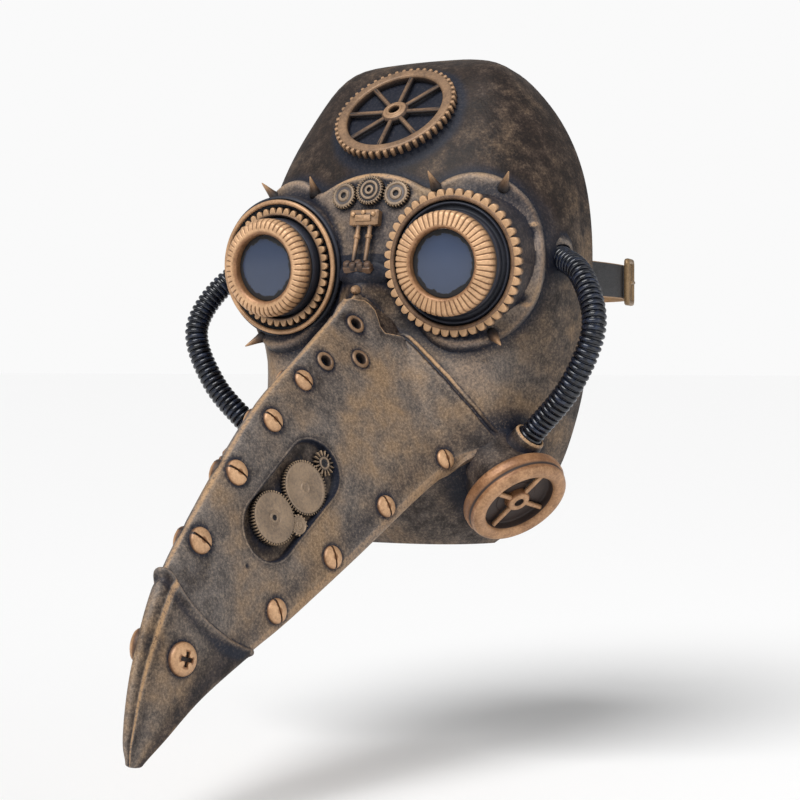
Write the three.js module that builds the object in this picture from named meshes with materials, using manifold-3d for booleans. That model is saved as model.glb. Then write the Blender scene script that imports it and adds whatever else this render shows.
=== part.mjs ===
// Plague doctor mask in moulded latex, with goggles, gears, hoses and cheek filters.
// Millimetres. x runs to the wearer's left, y to the back of the head, z up. Until the last
// lines heights are taken from the middle of the goggles; the origin then goes to the crown seat.
import * as THREE from 'three';
import { mergeVertices } from 'three/addons/utils/BufferGeometryUtils.js';
import Module from 'manifold-3d';

const wasm = await Module();
wasm.setup();

// Driving dimensions
const gap = 0.3;
const sides = [{ name: 'left', sign: 1 }, { name: 'right', sign: -1 }];

const head = {
  crownY: 40, crownZ: 112, halfWidth: 88, depth: 90,
  planPower: 3, crownSquare: 2.5, squareRise: 6, widthPower: 2.2, depthPower: 1.75,
  coreZ: -55, lowerEdgeZ: -137, farRadius: 400,
};
const hood = {
  wall: 2.5, spokes: 25, rings: 9, poleFraction: 0.03, cutterReach: 1.25, leastPolar: 0.3, mostPolar: 2,
};

// Level sections of the face below the goggles: half width at the ears, front on the middle line
const faceRows = [
  { z: 0, halfWidth: 88, front: -50 },
  { z: -20, halfWidth: 88, front: -53 },
  { z: -40, halfWidth: 87.5, front: -57 },
  { z: -60, halfWidth: 86, front: -60 },
  { z: -80, halfWidth: 82, front: -60 },
  { z: -100, halfWidth: 76, front: -56 },
  { z: -120, halfWidth: 66, front: -48 },
  { z: -137, halfWidth: 54, front: -36 },
  { z: -160, halfWidth: 38, front: -18 },
];

// How far back the hood reaches at each height
const backEdgeRows = [
  { z: 113, back: 38 },
  { z: 105, back: 32 },
  { z: 95, back: 29 },
  { z: 75, back: 29 },
  { z: 50, back: 28 },
  { z: 20, back: 25 },
  { z: -20, back: 22 },
  { z: -66, back: 17 },
  { z: -97, back: 12 },
  { z: -120, back: 4 },
  { z: -140, back: -10 },
];

// Soft bumps and dents of the latex, alike on both sides
const reliefRows = [
  { name: 'nose bridge', x: 0, y: -52, z: -15, spread: 12, height: 12 },
  { name: 'goggle seat', x: 35, y: -56, z: -24, spread: 22, height: -6 },
  { name: 'temple', x: 78, y: -22, z: 0, spread: 26, height: 6 },
  { name: 'wheel seat, lower', x: 0, y: -36, z: 56, spread: 24, height: 4 },
  { name: 'wheel seat, upper', x: 0, y: 8, z: 101, spread: 20, height: 3 },
  { name: 'crown corner', x: 38, y: 2, z: 100, spread: 22, height: 6 },
  { name: 'cheek hollow', x: 72, y: -30, z: -52, spread: 20, height: -4 },
  { name: 'cheekbone', x: 56, y: -44, z: -44, spread: 12, height: 2 },
  { name: 'jaw hollow', x: 40, y: -48, z: -112, spread: 14, height: -3 },
];

// Sections of the beak from inside the head to the point: ridge and lower edge
const beakRows = [
  { ridgeY: -32, ridgeZ: 7, edgeY: 10, edgeZ: -66, halfWidth: 66 },
  { ridgeY: -70.6, ridgeZ: -17, edgeY: -33, edgeZ: -89, halfWidth: 53 },
  { ridgeY: -105.5, ridgeZ: -38, edgeY: -70, edgeZ: -108, halfWidth: 43 },
  { ridgeY: -153, ridgeZ: -67, edgeY: -117, edgeZ: -137.5, halfWidth: 31 },
  { ridgeY: -196, ridgeZ: -105, edgeY: -159, edgeZ: -161, halfWidth: 22 },
  { ridgeY: -228.5, ridgeZ: -138, edgeY: -185, edgeZ: -173.5, halfWidth: 16.5 },
  { ridgeY: -246.5, ridgeZ: -171.5, edgeY: -213, edgeZ: -189, halfWidth: 9.5 },
  { ridgeY: -253.5, ridgeZ: -200, edgeY: -236, edgeZ: -205, halfWidth: 5 },
  { ridgeY: -253, ridgeZ: -212, edgeY: -246.5, edgeZ: -213.5, halfWidth: 2.5 },
];
const beak = {
  wall: 2.5, ridgeWidth: 4.5, ridgeDrop: 3.5, cornerRound: 5, ridgeShare: 0.2, dropShare: 0.08,
  cornerShare: 0.2, sideBulge: 0.02, bellySag: 0.05, sideSteps: 2, stationStep: 0.7, mouthStation: 1.6,
  rootStation: 2,
};
const beakCap = {
  seamStation: 5, overlap: 0.28, rise: 1.5, hollowEnd: 6.6, seamRadius: 66, seamSag: 7, seamTurns: 32,
};

// Fastenings on each side of the beak: station along the rows, share of the side from the ridge
const screwRows = [
  { name: 'upper_1', station: 2.43, across: 0.04, radius: 4.8 },
  { name: 'upper_2', station: 2.99, across: 0.05, radius: 5.1 },
  { name: 'upper_3', station: 3.62, across: 0.03, radius: 5.5 },
  { name: 'upper_4', station: 4.39, across: 0.05, radius: 5.6 },
  { name: 'lower_1', station: 1.58, across: 0.97, radius: 4.6 },
  { name: 'lower_2', station: 2.49, across: 0.94, radius: 4.9 },
  { name: 'lower_3', station: 3.24, across: 0.93, radius: 5.1 },
  { name: 'lower_4', station: 4.15, across: 0.92, radius: 5.4 },
];
const screw = {
  height: 2.4, taper: 0.85, slotWidth: 1.3, slotDepth: 1.2, turns: 8, crossRun: 1.2, crossWidth: 1.7,
};
const crossScrewRows = {
  left: { station: 5.68, across: 0.43, radius: 7 },
  right: { station: 5.7, across: 0.08, radius: 7 },
};
const eyeletRows = [
  { name: 'top', station: 1.25, across: 0.05 },
  { name: 'front', station: 2.06, across: 0.06 },
  { name: 'back', station: 1.62, across: 0.2 },
];
const eyelet = {
  radius: 4.4, bore: 2.1, crown: 3.3, height: 1.6, lip: 1, holeDepth: 9, holeRise: 5, turns: 6,
};

// Pocket in the side of the beak, with its gears measured from the pocket's middle
const pocket = {
  station: 3.3, across: 0.445, halfRun: 20.5, radius: 16.3, depth: 4, rim: 2, backing: 7, boss: 2,
  arcSteps: 3,
};
const pocketGearRows = [
  { along: 15.8, across: -3, radius: 12.6, root: 11.3, bore: 2.3, teeth: 12, rise: 2.6 },
  { along: -9.2, across: 1.2, radius: 14.6, root: 13.2, bore: 2.6, teeth: 13, rise: 3.2 },
  { along: -28, across: 1.4, radius: 6.2, root: 5.2, bore: 1.2, teeth: 6, rise: 2.6 },
  { along: 6.8, across: 10.2, radius: 5.4, root: 4.6, bore: 1, teeth: 6, rise: 2.2 },
];

const plate = {
  rise: 4.2, eyeX: 50, eyeZ: 2, eyeHalfWidth: 33, eyeHalfHeight: 44, browHalfWidth: 27, browTop: 47,
  browArch: 8, noseZ: -8, noseHalfWidth: 12, frontY: -120, reach: 160, drumFoot: -60, drumTop: -18.5,
  seatReach: 40, curveSteps: 5,
};
const goggle = {
  x: 50, y: -69, z: 0, splay: 4, droop: 4, turns: 16, holeRadius: 19, holeLength: 70, holeTurns: 12,
};

// Half sections of the goggle rings: radius, height towards the front from the bezel's face
const cupProfiles = {
  left: [[20, -18.2], [33, -18.2], [33, -16.6], [27.6, -16.6], [27.2, -11.2], [24.6, -9.8], [20, -9.8]],
  right: [[20, -18.2], [34.6, -18.2], [33.6, -16], [31.2, -16], [29.4, -16.8], [24.9, -16.8], [24.3, -9.8],
    [20, -9.8]],
};
const drumRadius = { left: 33, right: 35 };
const seatRadius = { left: 36.9, right: 36 };
const bezelProfiles = {
  left: [[16.5, -9.5], [24, -9.5], [24.8, -8], [24.8, -2], [23.6, -0.8], [18.6, 0], [16.5, -0.5]],
  right: [[16.5, -9.5], [23, -9.5], [24.2, -7], [23.9, -2.4], [22.3, -0.1], [20, 0.7], [16.5, -1]],
};
const lensProfile = [[0, -7.4], [16.2, -7.4], [16.2, -5.4], [9, -4.6], [0, -4.3]];
const lensTurns = 12;
const gearRings = {
  left: { tip: 35.5, root: 33.2, bore: 28.3, teeth: 36, back: -16.3, thick: 4.1, boreSteps: 9 },
  right: { tip: 29.2, root: 26.9, bore: 25.6, teeth: 30, back: -16.5, thick: 3.4, boreSteps: 9 },
};
const rimRight = { radius: 32.3, thick: 1.5, z: -14.2, turns: 20, round: 5 };

// Feet of the spikes round each goggle
const spikeRows = [
  { name: 'inner_top', x: 33.5, z: 37.5 },
  { name: 'outer_top', x: 63, z: 37 },
  { name: 'lower', x: 63, z: -34.5 },
];
const spike = { footRadius: 6.4, length: 8.6, lean: 0.8, turns: 8 };

const foreheadGear = {
  y: -24.2, z: 80.4, tilt: 43, tip: 32.4, root: 30.6, rimBore: 25.6, hub: 7.2, hubBore: 2.8, spokes: 8,
  spokeWidth: 2.6, teeth: 28, thick: 4.5, bossRadius: 29, bossDepth: 16, turns: 18, curveSteps: 2,
};
const browGearRows = [
  { name: 'right', x: -14.2, z: 36.5, radius: 6.4, root: 5.6, bore: 1.9, teeth: 10, rise: 3 },
  { name: 'middle', x: 0, z: 39, radius: 7.3, root: 6.4, bore: 2.2, teeth: 12, rise: 3.4 },
  { name: 'left', x: 14.2, z: 36.5, radius: 6.6, root: 5.8, bore: 2, teeth: 10, rise: 3 },
];
const browGearBore = { depth: 1.2, rise: 1, turns: 8 };
const bracket = {
  z: 24.5, width: 16, height: 8, rise: 5, rodRadius: 1.5, rodX: 3.5, rodTop: 22, rodBottom: -1, rodTurns: 8,
  footZ: -2.5, footWidth: 17, footHeight: 5.5,
};

// Middle line of the left hose, from the temple to the cheek
const hoseRoute = [
  { x: 85, y: -10, z: 5 },
  { x: 101, y: -21.5, z: -4 },
  { x: 113, y: -33, z: -29 },
  { x: 102, y: -34, z: -57 },
  { x: 79, y: -31, z: -82 },
];
const hose = { radius: 5.9, ribDepth: 1.1, ribs: 11, round: 8 };
const hoseSocket = { radius: 9.5, mouth: 8, length: 26, overlap: 4, turns: 8 };
const hoseCollar = { radius: 8.4, lip: 9.2, lipDepth: 2, shoulder: 3, reach: 24, overlap: 5, turns: 8 };

const filter = {
  x: 77.5, y: -38, z: -116, outwardX: 0.65, outwardY: -0.32, outwardZ: -0.69, turns: 15, drumRadius: 21.5,
  drumFoot: -44, drumEdge: -15, drumTopRadius: 20, drumTop: -12.4,
};
const wheelProfile = [[0, -12.1], [21, -12.1], [26.2, -8.5], [25.8, -2.2], [23.2, 0], [19.6, 0], [18, -1.8],
  [18, -6], [0, -6]];
const wheel = {
  spokes: 4, spokeWidth: 4.2, spokeRise: 2.6, hubRadius: 6, hubRise: 4.2, hubTurns: 8, hubBore: 2.4,
  boreDepth: 2, boreTurns: 8, run: 18.6, floor: -6.4, turn: 45,
};

const strap = {
  z: -4, width: 18, thick: 2, startY: 2, halfWidth: 82.8, backY: 152, cornerPower: 3, steps: 18,
};
const buckle = { y: 92, height: 25, length: 19, bar: 3, thick: 3, middleBar: 2.6 };
const tiny = 1e-3;

// Finishes
const finish = (color, roughness, metalness) => () => new THREE.MeshStandardMaterial({
  color, roughness, metalness,
});
const latex = finish(0x5c4a38, 0.6, 0.25);
const copper = finish(0xb98455, 0.45, 0.55);
const oldIron = finish(0x3b3d44, 0.55, 0.4);
const rubber = finish(0x1d2026, 0.4, 0);
const smokedGlass = finish(0x4a5260, 0.15, 0);
const leather = finish(0x26262a, 0.6, 0);
const brass = finish(0x9a7b4f, 0.4, 0.7);

const mask = new THREE.Group();

// Shape helpers

// A geometry as a solid that can be joined and cut.
function solid(geometry, matrix = new THREE.Matrix4()) {
  const bare = new THREE.BufferGeometry();
  const loose = geometry.index ? geometry.toNonIndexed() : geometry.clone();
  bare.setAttribute('position', loose.getAttribute('position'));
  bare.applyMatrix4(matrix);
  const merged = mergeVertices(bare, tiny);
  return new wasm.Manifold(new wasm.Mesh({
    numProp: 3,
    vertProperties: merged.attributes.position.array,
    triVerts: new Uint32Array(merged.index.array),
  }));
}

function geometryOf(body) {
  const { vertProperties, triVerts } = body.getMesh();
  const indexed = new THREE.BufferGeometry();
  indexed.setAttribute('position', new THREE.BufferAttribute(Float32Array.from(vertProperties), 3));
  indexed.setIndex([...triVerts]);
  const flat = indexed.toNonIndexed();
  flat.computeVertexNormals();
  return flat;
}

function addPiece(name, shape, material, matrix) {
  const geometry = shape.isBufferGeometry ? shape : geometryOf(shape);
  const mesh = new THREE.Mesh(geometry, material());
  mesh.name = name;
  if (matrix) mesh.applyMatrix4(matrix);
  mask.add(mesh);
}

// A closed skin through loops of points; the ends are filled, or joined when ringed is true.
function loft(loops, ringed = false) {
  const count = loops[0].length;
  const points = loops.flat();
  const faces = [];
  const bands = ringed ? loops.length : loops.length - 1;
  for (let j = 0; j < bands; j += 1) {
    const a = j * count;
    const b = ((j + 1) % loops.length) * count;
    for (let i = 0; i < count; i += 1) {
      const k = (i + 1) % count;
      faces.push(a + i, a + k, b + k, a + i, b + k, b + i);
    }
  }
  if (!ringed) {
    const last = (loops.length - 1) * count;
    for (const [loop, start, flip] of [[loops[0], 0, true], [loops.at(-1), last, false]]) {
      const middle = new THREE.Vector3();
      loop.forEach((point) => middle.addScaledVector(point, 1 / count));
      const centre = points.push(middle) - 1;
      for (let i = 0; i < count; i += 1) {
        const k = (i + 1) % count;
        faces.push(centre, start + (flip ? k : i), start + (flip ? i : k));
      }
    }
  }
  let volume = 0;
  const normal = new THREE.Vector3();
  for (let f = 0; f < faces.length; f += 3) {
    const [p, q, r] = [points[faces[f]], points[faces[f + 1]], points[faces[f + 2]]];
    volume += normal.crossVectors(q, r).dot(p);
  }
  if (volume < 0) faces.reverse();
  return new THREE.BufferGeometry().setFromPoints(points).setIndex(faces);
}

// A solid of revolution about z from rows of radius and height.
function turned(profile, turns) {
  const points = profile.map(([radius, height]) => new THREE.Vector2(radius, height));
  if (profile[0][0] > 0) points.push(points[0].clone());
  return new THREE.LatheGeometry(points, turns).rotateX(Math.PI / 2);
}

function extruded(shape, depth, curveSegments = 12) {
  return new THREE.ExtrudeGeometry(shape, { depth, bevelEnabled: false, curveSegments });
}

// A toothed disc with its back on z = 0.
function gearShape(tip, root, teeth) {
  const points = [];
  for (let k = 0; k < 2 * teeth; k += 1) {
    const angle = (k * Math.PI) / teeth;
    const radius = k % 2 ? root : tip;
    points.push(new THREE.Vector2(radius * Math.cos(angle), radius * Math.sin(angle)));
  }
  return new THREE.Shape(points);
}

function roundHole(radius) {
  return new THREE.Path().absarc(0, 0, radius, 0, 2 * Math.PI, true);
}

// A frame at a point, its z along outward and its x as near along as it can be.
function frameAt(origin, outward, along) {
  const z = outward.clone().normalize();
  const x = along.clone().addScaledVector(z, -along.dot(z)).normalize();
  return new THREE.Matrix4().makeBasis(x, z.clone().cross(x), z).setPosition(origin);
}

function shifted(x, y, z) {
  return new THREE.Matrix4().makeTranslation(x, y, z);
}

// A smooth curve through the rows of a table, one column against another.
function smoothColumn(rows, input, output) {
  const sorted = [...rows].sort((a, b) => a[input] - b[input]);
  const at = sorted.map((row) => row[input]);
  const value = sorted.map((row) => row[output]);
  const last = at.length - 1;
  const slope = at.map((_, k) => {
    const low = Math.max(k - 1, 0);
    const high = Math.min(k + 1, last);
    return (value[high] - value[low]) / (at[high] - at[low]);
  });
  return (place) => {
    let k = 0;
    while (k < last - 1 && place > at[k + 1]) k += 1;
    const step = at[k + 1] - at[k];
    const t = (place - at[k]) / step;
    const rest = 1 - t;
    return value[k] * (1 + 2 * t) * rest * rest + step * slope[k] * t * rest * rest
      + value[k + 1] * t * t * (3 - 2 * t) - step * slope[k + 1] * t * t * rest;
  };
}

// Head form

const faceHalfWidth = smoothColumn(faceRows, 'z', 'halfWidth');
const faceFront = smoothColumn(faceRows, 'z', 'front');
const backEdge = smoothColumn(backEdgeRows, 'z', 'back');
const core = new THREE.Vector3(0, head.crownY, head.coreZ);

function outsideHead(point) {
  if (point.z >= head.crownZ) return true;
  let halfWidth = faceHalfWidth(point.z);
  let depth = head.crownY - faceFront(point.z);
  let power = head.planPower;
  if (point.z > 0) {
    const height = point.z / head.crownZ;
    power += head.crownSquare * height ** head.squareRise;
    halfWidth = head.halfWidth * (1 - height ** head.widthPower) ** (1 / head.widthPower);
    depth = head.depth * (1 - height ** head.depthPower) ** (1 / head.depthPower);
  }
  const across = Math.abs(point.x) / halfWidth;
  const along = Math.abs(point.y - head.crownY) / depth;
  return across ** power + along ** power > 1;
}

function relief(point) {
  let height = 0;
  for (const row of reliefRows) {
    const away = Math.hypot(Math.abs(point.x) - row.x, point.y - row.y, point.z - row.z);
    height += row.height * Math.exp(-((away / row.spread) ** 2));
  }
  return height;
}

// Where a ray from the middle of the head comes out of the latex.
function headPoint(direction) {
  let near = 0;
  let far = head.farRadius;
  for (let step = 0; step < 40; step += 1) {
    const middle = (near + far) / 2;
    if (outsideHead(core.clone().addScaledVector(direction, middle))) far = middle;
    else near = middle;
  }
  const point = core.clone().addScaledVector(direction, near);
  return point.addScaledVector(direction, relief(point));
}

function headNormal(direction) {
  const side = new THREE.Vector3(0, 0, 1).cross(direction).normalize();
  const rise = direction.clone().cross(side);
  const here = headPoint(direction);
  const a = headPoint(direction.clone().addScaledVector(side, tiny).normalize()).sub(here);
  const b = headPoint(direction.clone().addScaledVector(rise, tiny).normalize()).sub(here);
  return a.cross(b).normalize();
}

function spokeDirection(spoke, polar) {
  const turn = (2 * Math.PI * (spoke + 0.5)) / hood.spokes;
  return new THREE.Vector3(
    Math.sin(polar) * Math.sin(turn),
    -Math.cos(polar),
    Math.sin(polar) * Math.cos(turn),
  );
}

// The angle from straight ahead at which each spoke meets the edge of the hood.
const edgePolar = Array.from({ length: hood.spokes }, (_, spoke) => {
  let near = hood.leastPolar;
  let far = hood.mostPolar;
  for (let step = 0; step < 30; step += 1) {
    const middle = (near + far) / 2;
    const point = headPoint(spokeDirection(spoke, middle));
    const inside = point.y < backEdge(point.z) && point.z > head.lowerEdgeZ;
    if (inside) near = middle;
    else far = middle;
  }
  return near;
});

const headRings = new Map();
function headLoop(fraction, offset) {
  if (!headRings.has(fraction)) {
    headRings.set(fraction, edgePolar.map((polar, spoke) => {
      const direction = spokeDirection(spoke, fraction * polar);
      return { point: headPoint(direction), normal: headNormal(direction) };
    }));
  }
  return headRings.get(fraction).map(({ point, normal }) => point.clone().addScaledVector(normal, offset));
}

const ringFractions = Array.from({ length: hood.rings }, (_, k) => (
  hood.poleFraction + ((1 - hood.poleFraction) * k) / (hood.rings - 1)
));

// The whole head form, its latex face moved out by an offset.
function headForm(offset) {
  const fractions = [...ringFractions, (1 + hood.cutterReach) / 2, hood.cutterReach];
  return solid(loft(fractions.map((fraction) => headLoop(fraction, offset))));
}

const latexFace = headForm(gap);
const plateFace = headForm(plate.rise + gap);

// Beak form

const beakColumns = Object.fromEntries(Object.keys(beakRows[0]).map((column) => [
  column,
  smoothColumn(beakRows.map((row, station) => ({ station, ...row })), 'station', column),
]));

function beakSection(station) {
  const row = Object.fromEntries(Object.entries(beakColumns).map(([name, at]) => [name, at(station)]));
  const run = new THREE.Vector2(row.edgeY - row.ridgeY, row.edgeZ - row.ridgeZ);
  const depth = run.length();
  return { ...row, depth, down: run.divideScalar(depth) };
}

// Half width and drop below the ridge on the flat side of a section.
function sideAt({ halfWidth, depth }, across) {
  const shoulder = Math.min(beak.ridgeWidth, beak.ridgeShare * halfWidth);
  const drop = Math.min(beak.ridgeDrop, beak.dropShare * depth);
  const corner = Math.min(beak.cornerRound, beak.cornerShare * halfWidth);
  return new THREE.Vector2(
    shoulder + (halfWidth - shoulder) * across + beak.sideBulge * depth * Math.sin(Math.PI * across),
    drop + (depth - corner - drop) * across,
  );
}

function sectionPoint({ ridgeY, ridgeZ, down }, x, drop) {
  return new THREE.Vector3(x, ridgeY + down.x * drop, ridgeZ + down.y * drop);
}

function beakOutline(section) {
  const { halfWidth, depth } = section;
  const start = sideAt(section, 0);
  const half = [new THREE.Vector2(0, 0), new THREE.Vector2(0.72 * start.x, 0.3 * start.y)];
  for (let k = 0; k <= beak.sideSteps; k += 1) half.push(sideAt(section, k / beak.sideSteps));
  const corner = depth - sideAt(section, 1).y;
  half.push(new THREE.Vector2(halfWidth - 0.4 * corner, depth - 0.2 * corner));
  half.push(new THREE.Vector2(0.5 * halfWidth, depth + 0.8 * beak.bellySag * depth));
  half.push(new THREE.Vector2(0, depth + beak.bellySag * depth));
  const mirrored = half.slice(1, -1).reverse().map((point) => new THREE.Vector2(-point.x, point.y));
  return [...half, ...mirrored];
}

function beakLoop(station, offset) {
  const section = beakSection(station);
  const outline = beakOutline(section);
  return outline.map((point, k) => {
    const before = outline.at(k - 1);
    const after = outline[(k + 1) % outline.length];
    const out = new THREE.Vector2(after.y - before.y, before.x - after.x).normalize();
    const x = point.x + offset * out.x;
    const drop = point.y + offset * out.y;
    return sectionPoint(section, x, drop);
  });
}

function stationsBetween(first, last) {
  const count = Math.round((last - first) / beak.stationStep);
  return Array.from({ length: count + 1 }, (_, k) => first + ((last - first) * k) / count);
}

function beakForm(first, last, offset) {
  return solid(loft(stationsBetween(first, last).map((station) => beakLoop(station, offset))));
}

function beakSidePoint(station, across, sign) {
  const section = beakSection(station);
  const { x, y } = sideAt(section, across);
  return sectionPoint(section, sign * x, y);
}

// A frame on the side of the beak: x towards the point, z out of the side.
function beakSideFrame({ station, across }, sign) {
  const origin = beakSidePoint(station, across, sign);
  const along = beakSidePoint(station + tiny, across, sign).sub(origin);
  const down = beakSidePoint(station, across + tiny, sign).sub(origin);
  return frameAt(origin, along.clone().cross(down).multiplyScalar(sign), along);
}

const lastStation = beakRows.length - 1;
const beakEnd = beakCap.seamStation + beakCap.overlap;

// Goggle frame: origin at the middle of the bezel's face, z to the front
function goggleFrame(sign) {
  const splay = THREE.MathUtils.degToRad(goggle.splay);
  const droop = THREE.MathUtils.degToRad(goggle.droop);
  const outward = new THREE.Vector3(sign * Math.sin(splay), -Math.cos(splay), -Math.sin(droop));
  const origin = new THREE.Vector3(sign * goggle.x, goggle.y, goggle.z);
  return frameAt(origin, outward, new THREE.Vector3(sign, 0, 0));
}

function eyeBore(sign) {
  const { holeRadius, holeLength, holeTurns } = goggle;
  const bore = [[0, -holeLength], [holeRadius, -holeLength], [holeRadius, 0], [0, 0]];
  return solid(turned(bore, holeTurns), goggleFrame(sign));
}

const hoseCurves = Object.fromEntries(sides.map(({ name, sign }) => [
  name,
  new THREE.CatmullRomCurve3(hoseRoute.map(({ x, y, z }) => new THREE.Vector3(sign * x, y, z))),
]));

function foreheadFrame() {
  const tilt = THREE.MathUtils.degToRad(foreheadGear.tilt);
  const outward = new THREE.Vector3(0, -Math.cos(tilt), Math.sin(tilt));
  const origin = new THREE.Vector3(0, foreheadGear.y, foreheadGear.z);
  return frameAt(origin, outward, new THREE.Vector3(1, 0, 0));
}

// Hood, with the hose sockets at the temples and the seat of the forehead wheel moulded on
function makeHood() {
  const outer = ringFractions.map((fraction) => headLoop(fraction, 0));
  const inner = ringFractions.map((fraction) => headLoop(fraction, -hood.wall)).reverse();
  let body = solid(loft([...outer, ...inner]));
  const hollow = headForm(-hood.wall / 2);
  for (const { name, sign } of sides) {
    const curve = hoseCurves[name];
    const { radius, mouth, length, overlap, turns } = hoseSocket;
    const socket = turned([[0, -length], [radius, -length], [mouth, overlap], [0, overlap]], turns);
    const bore = hose.radius + gap;
    const opening = turned([[0, -gap], [bore, -gap], [bore, length], [0, length]], turns);
    const frame = frameAt(curve.getPoint(0), curve.getTangent(0), new THREE.Vector3(0, 0, 1));
    body = body.add(solid(socket, frame).subtract(hollow));
    body = body.subtract(solid(opening, frame));
    body = body.subtract(eyeBore(sign));
  }
  const { bossRadius, bossDepth, thick, turns } = foreheadGear;
  const seat = -thick - gap;
  const foot = seat - bossDepth;
  const boss = turned([[0, foot], [bossRadius, foot], [bossRadius, seat], [0, seat]], turns);
  body = body.add(solid(boss, foreheadFrame()).subtract(hollow));
  addPiece('hood', body.subtract(beakForm(0, beak.mouthStation, -beak.wall)), latex);
}

function stadium({ halfRun, radius }, grow) {
  const shape = new THREE.Shape();
  shape.absarc(halfRun, 0, radius + grow, -Math.PI / 2, Math.PI / 2, false);
  shape.absarc(-halfRun, 0, radius + grow, Math.PI / 2, (3 * Math.PI) / 2, false);
  return shape;
}

// Beak: hollow wedge with a pocket in each side and bored for the eyelets
function makeBeak() {
  const stations = stationsBetween(0, beakEnd);
  const outer = stations.map((station) => beakLoop(station, 0));
  const inner = stations.map((station) => beakLoop(station, -beak.wall)).reverse();
  let body = solid(loft([...outer, ...inner], true));
  const { bore, holeDepth, holeRise, turns } = eyelet;
  const hole = turned([[0, -holeDepth], [bore, -holeDepth], [bore, holeRise], [0, holeRise]], turns);
  for (const { sign } of sides) {
    const frame = beakSideFrame(pocket, sign);
    const boss = extruded(stadium(pocket, pocket.rim), pocket.backing - pocket.boss, pocket.arcSteps);
    const hollow = extruded(stadium(pocket, 0), pocket.depth + pocket.backing, pocket.arcSteps);
    body = body.add(solid(boss, frame.clone().multiply(shifted(0, 0, -pocket.backing))));
    body = body.subtract(solid(hollow, frame.clone().multiply(shifted(0, 0, -pocket.depth))));
    for (const row of eyeletRows) body = body.subtract(solid(hole, beakSideFrame(row, sign)));
  }
  addPiece('beak', body.subtract(latexFace), latex);
}

// Hooked cap that slips over the end of the beak, its edge cut in a shallow curve
function makeBeakTip() {
  const { seamStation, overlap, rise, hollowEnd, seamRadius, seamSag, seamTurns } = beakCap;
  const start = seamStation - overlap;
  const shell = beakForm(start, lastStation, rise);
  const hollow = beakForm(start, hollowEnd, -beak.wall / 2);
  const seam = beakSection(seamStation);
  const middle = new THREE.Vector3(0, (seam.ridgeY + seam.edgeY) / 2, (seam.ridgeZ + seam.edgeZ) / 2);
  const towardsPoint = new THREE.Vector3(0, seam.down.y, -seam.down.x);
  middle.addScaledVector(towardsPoint, seamSag - seamRadius);
  const width = 4 * seam.halfWidth;
  const curve = new THREE.CylinderGeometry(seamRadius, seamRadius, width, seamTurns);
  const cut = solid(curve.rotateZ(Math.PI / 2), shifted(middle.x, middle.y, middle.z));
  addPiece('beak_tip', shell.subtract(beakForm(0, beakEnd, gap)).subtract(hollow).subtract(cut), latex);
}

// Raised plate round the eyes and over the brow, with a drum for each goggle
function goggleDrum({ name, sign }, grow) {
  const radius = drumRadius[name] + grow;
  const top = plate.drumTop + grow;
  const profile = [[0, plate.drumFoot], [radius, plate.drumFoot], [radius, top], [0, top]];
  return solid(turned(profile, goggle.turns), goggleFrame(sign));
}

function makeGogglePlate() {
  const across = (shape) => {
    const block = extruded(shape, plate.reach, plate.curveSteps);
    return solid(block.rotateX(Math.PI / 2), shifted(0, plate.frontY + plate.reach, 0));
  };
  const brow = new THREE.Shape();
  const { browHalfWidth, browTop, browArch, noseZ, noseHalfWidth } = plate;
  brow.moveTo(-browHalfWidth, 0);
  brow.quadraticCurveTo(-noseHalfWidth, 0, -noseHalfWidth, noseZ);
  brow.lineTo(noseHalfWidth, noseZ);
  brow.quadraticCurveTo(noseHalfWidth, 0, browHalfWidth, 0);
  brow.lineTo(browHalfWidth, browTop - browArch);
  brow.quadraticCurveTo(0, browTop + browArch, -browHalfWidth, browTop - browArch);
  let body = across(brow);
  for (const { sign } of sides) {
    const eye = new THREE.Shape();
    eye.absellipse(sign * plate.eyeX, plate.eyeZ, plate.eyeHalfWidth, plate.eyeHalfHeight, 0, 2 * Math.PI);
    body = body.add(across(eye));
  }
  body = body.intersect(headForm(plate.rise));
  for (const side of sides) {
    const { drumTop, seatReach } = plate;
    const clear = seatRadius[side.name];
    const seat = turned([[0, drumTop], [clear, drumTop], [clear, seatReach], [0, seatReach]], goggle.turns);
    body = body.add(goggleDrum(side, 0)).subtract(solid(seat, goggleFrame(side.sign)));
    body = body.subtract(eyeBore(side.sign));
  }
  body = body.subtract(latexFace);
  addPiece('goggle_plate', body.subtract(beakForm(0, beak.rootStation, gap)), latex);
}

// Goggles: cup on the plate, toothed ring, bezel and smoked lens
function makeGoggle({ name, sign }) {
  const frame = goggleFrame(sign);
  addPiece(`goggle_cup_${name}`, turned(cupProfiles[name], goggle.turns), oldIron, frame);
  const { tip, root, bore, teeth, back, thick, boreSteps } = gearRings[name];
  const ring = gearShape(tip, root, teeth);
  ring.holes.push(roundHole(bore));
  const ringFrame = frame.clone().multiply(shifted(0, 0, back));
  addPiece(`gear_ring_${name}`, extruded(ring, thick, boreSteps), copper, ringFrame);
  addPiece(`bezel_${name}`, turned(bezelProfiles[name], goggle.turns), copper, frame);
  addPiece(`lens_${name}`, turned(lensProfile, lensTurns), smokedGlass, frame);
  for (const row of spikeRows) {
    const { point, normal } = browPoint(sign * row.x, row.z);
    const lean = new THREE.Vector3(row.x - goggle.x, 0, row.z - goggle.z).normalize();
    const outward = normal.clone().addScaledVector(lean.setX(sign * lean.x), spike.lean).normalize();
    const place = frameAt(point.addScaledVector(normal, plate.rise), outward, new THREE.Vector3(1, 0, 0));
    const cone = [[0, -spike.length], [spike.footRadius, -spike.length], [0, spike.length]];
    const body = solid(turned(cone, spike.turns), place).subtract(plateFace);
    addPiece(`spike_${row.name}_${name}`, body.subtract(goggleDrum({ name, sign }, gap)), copper);
  }
}

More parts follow.
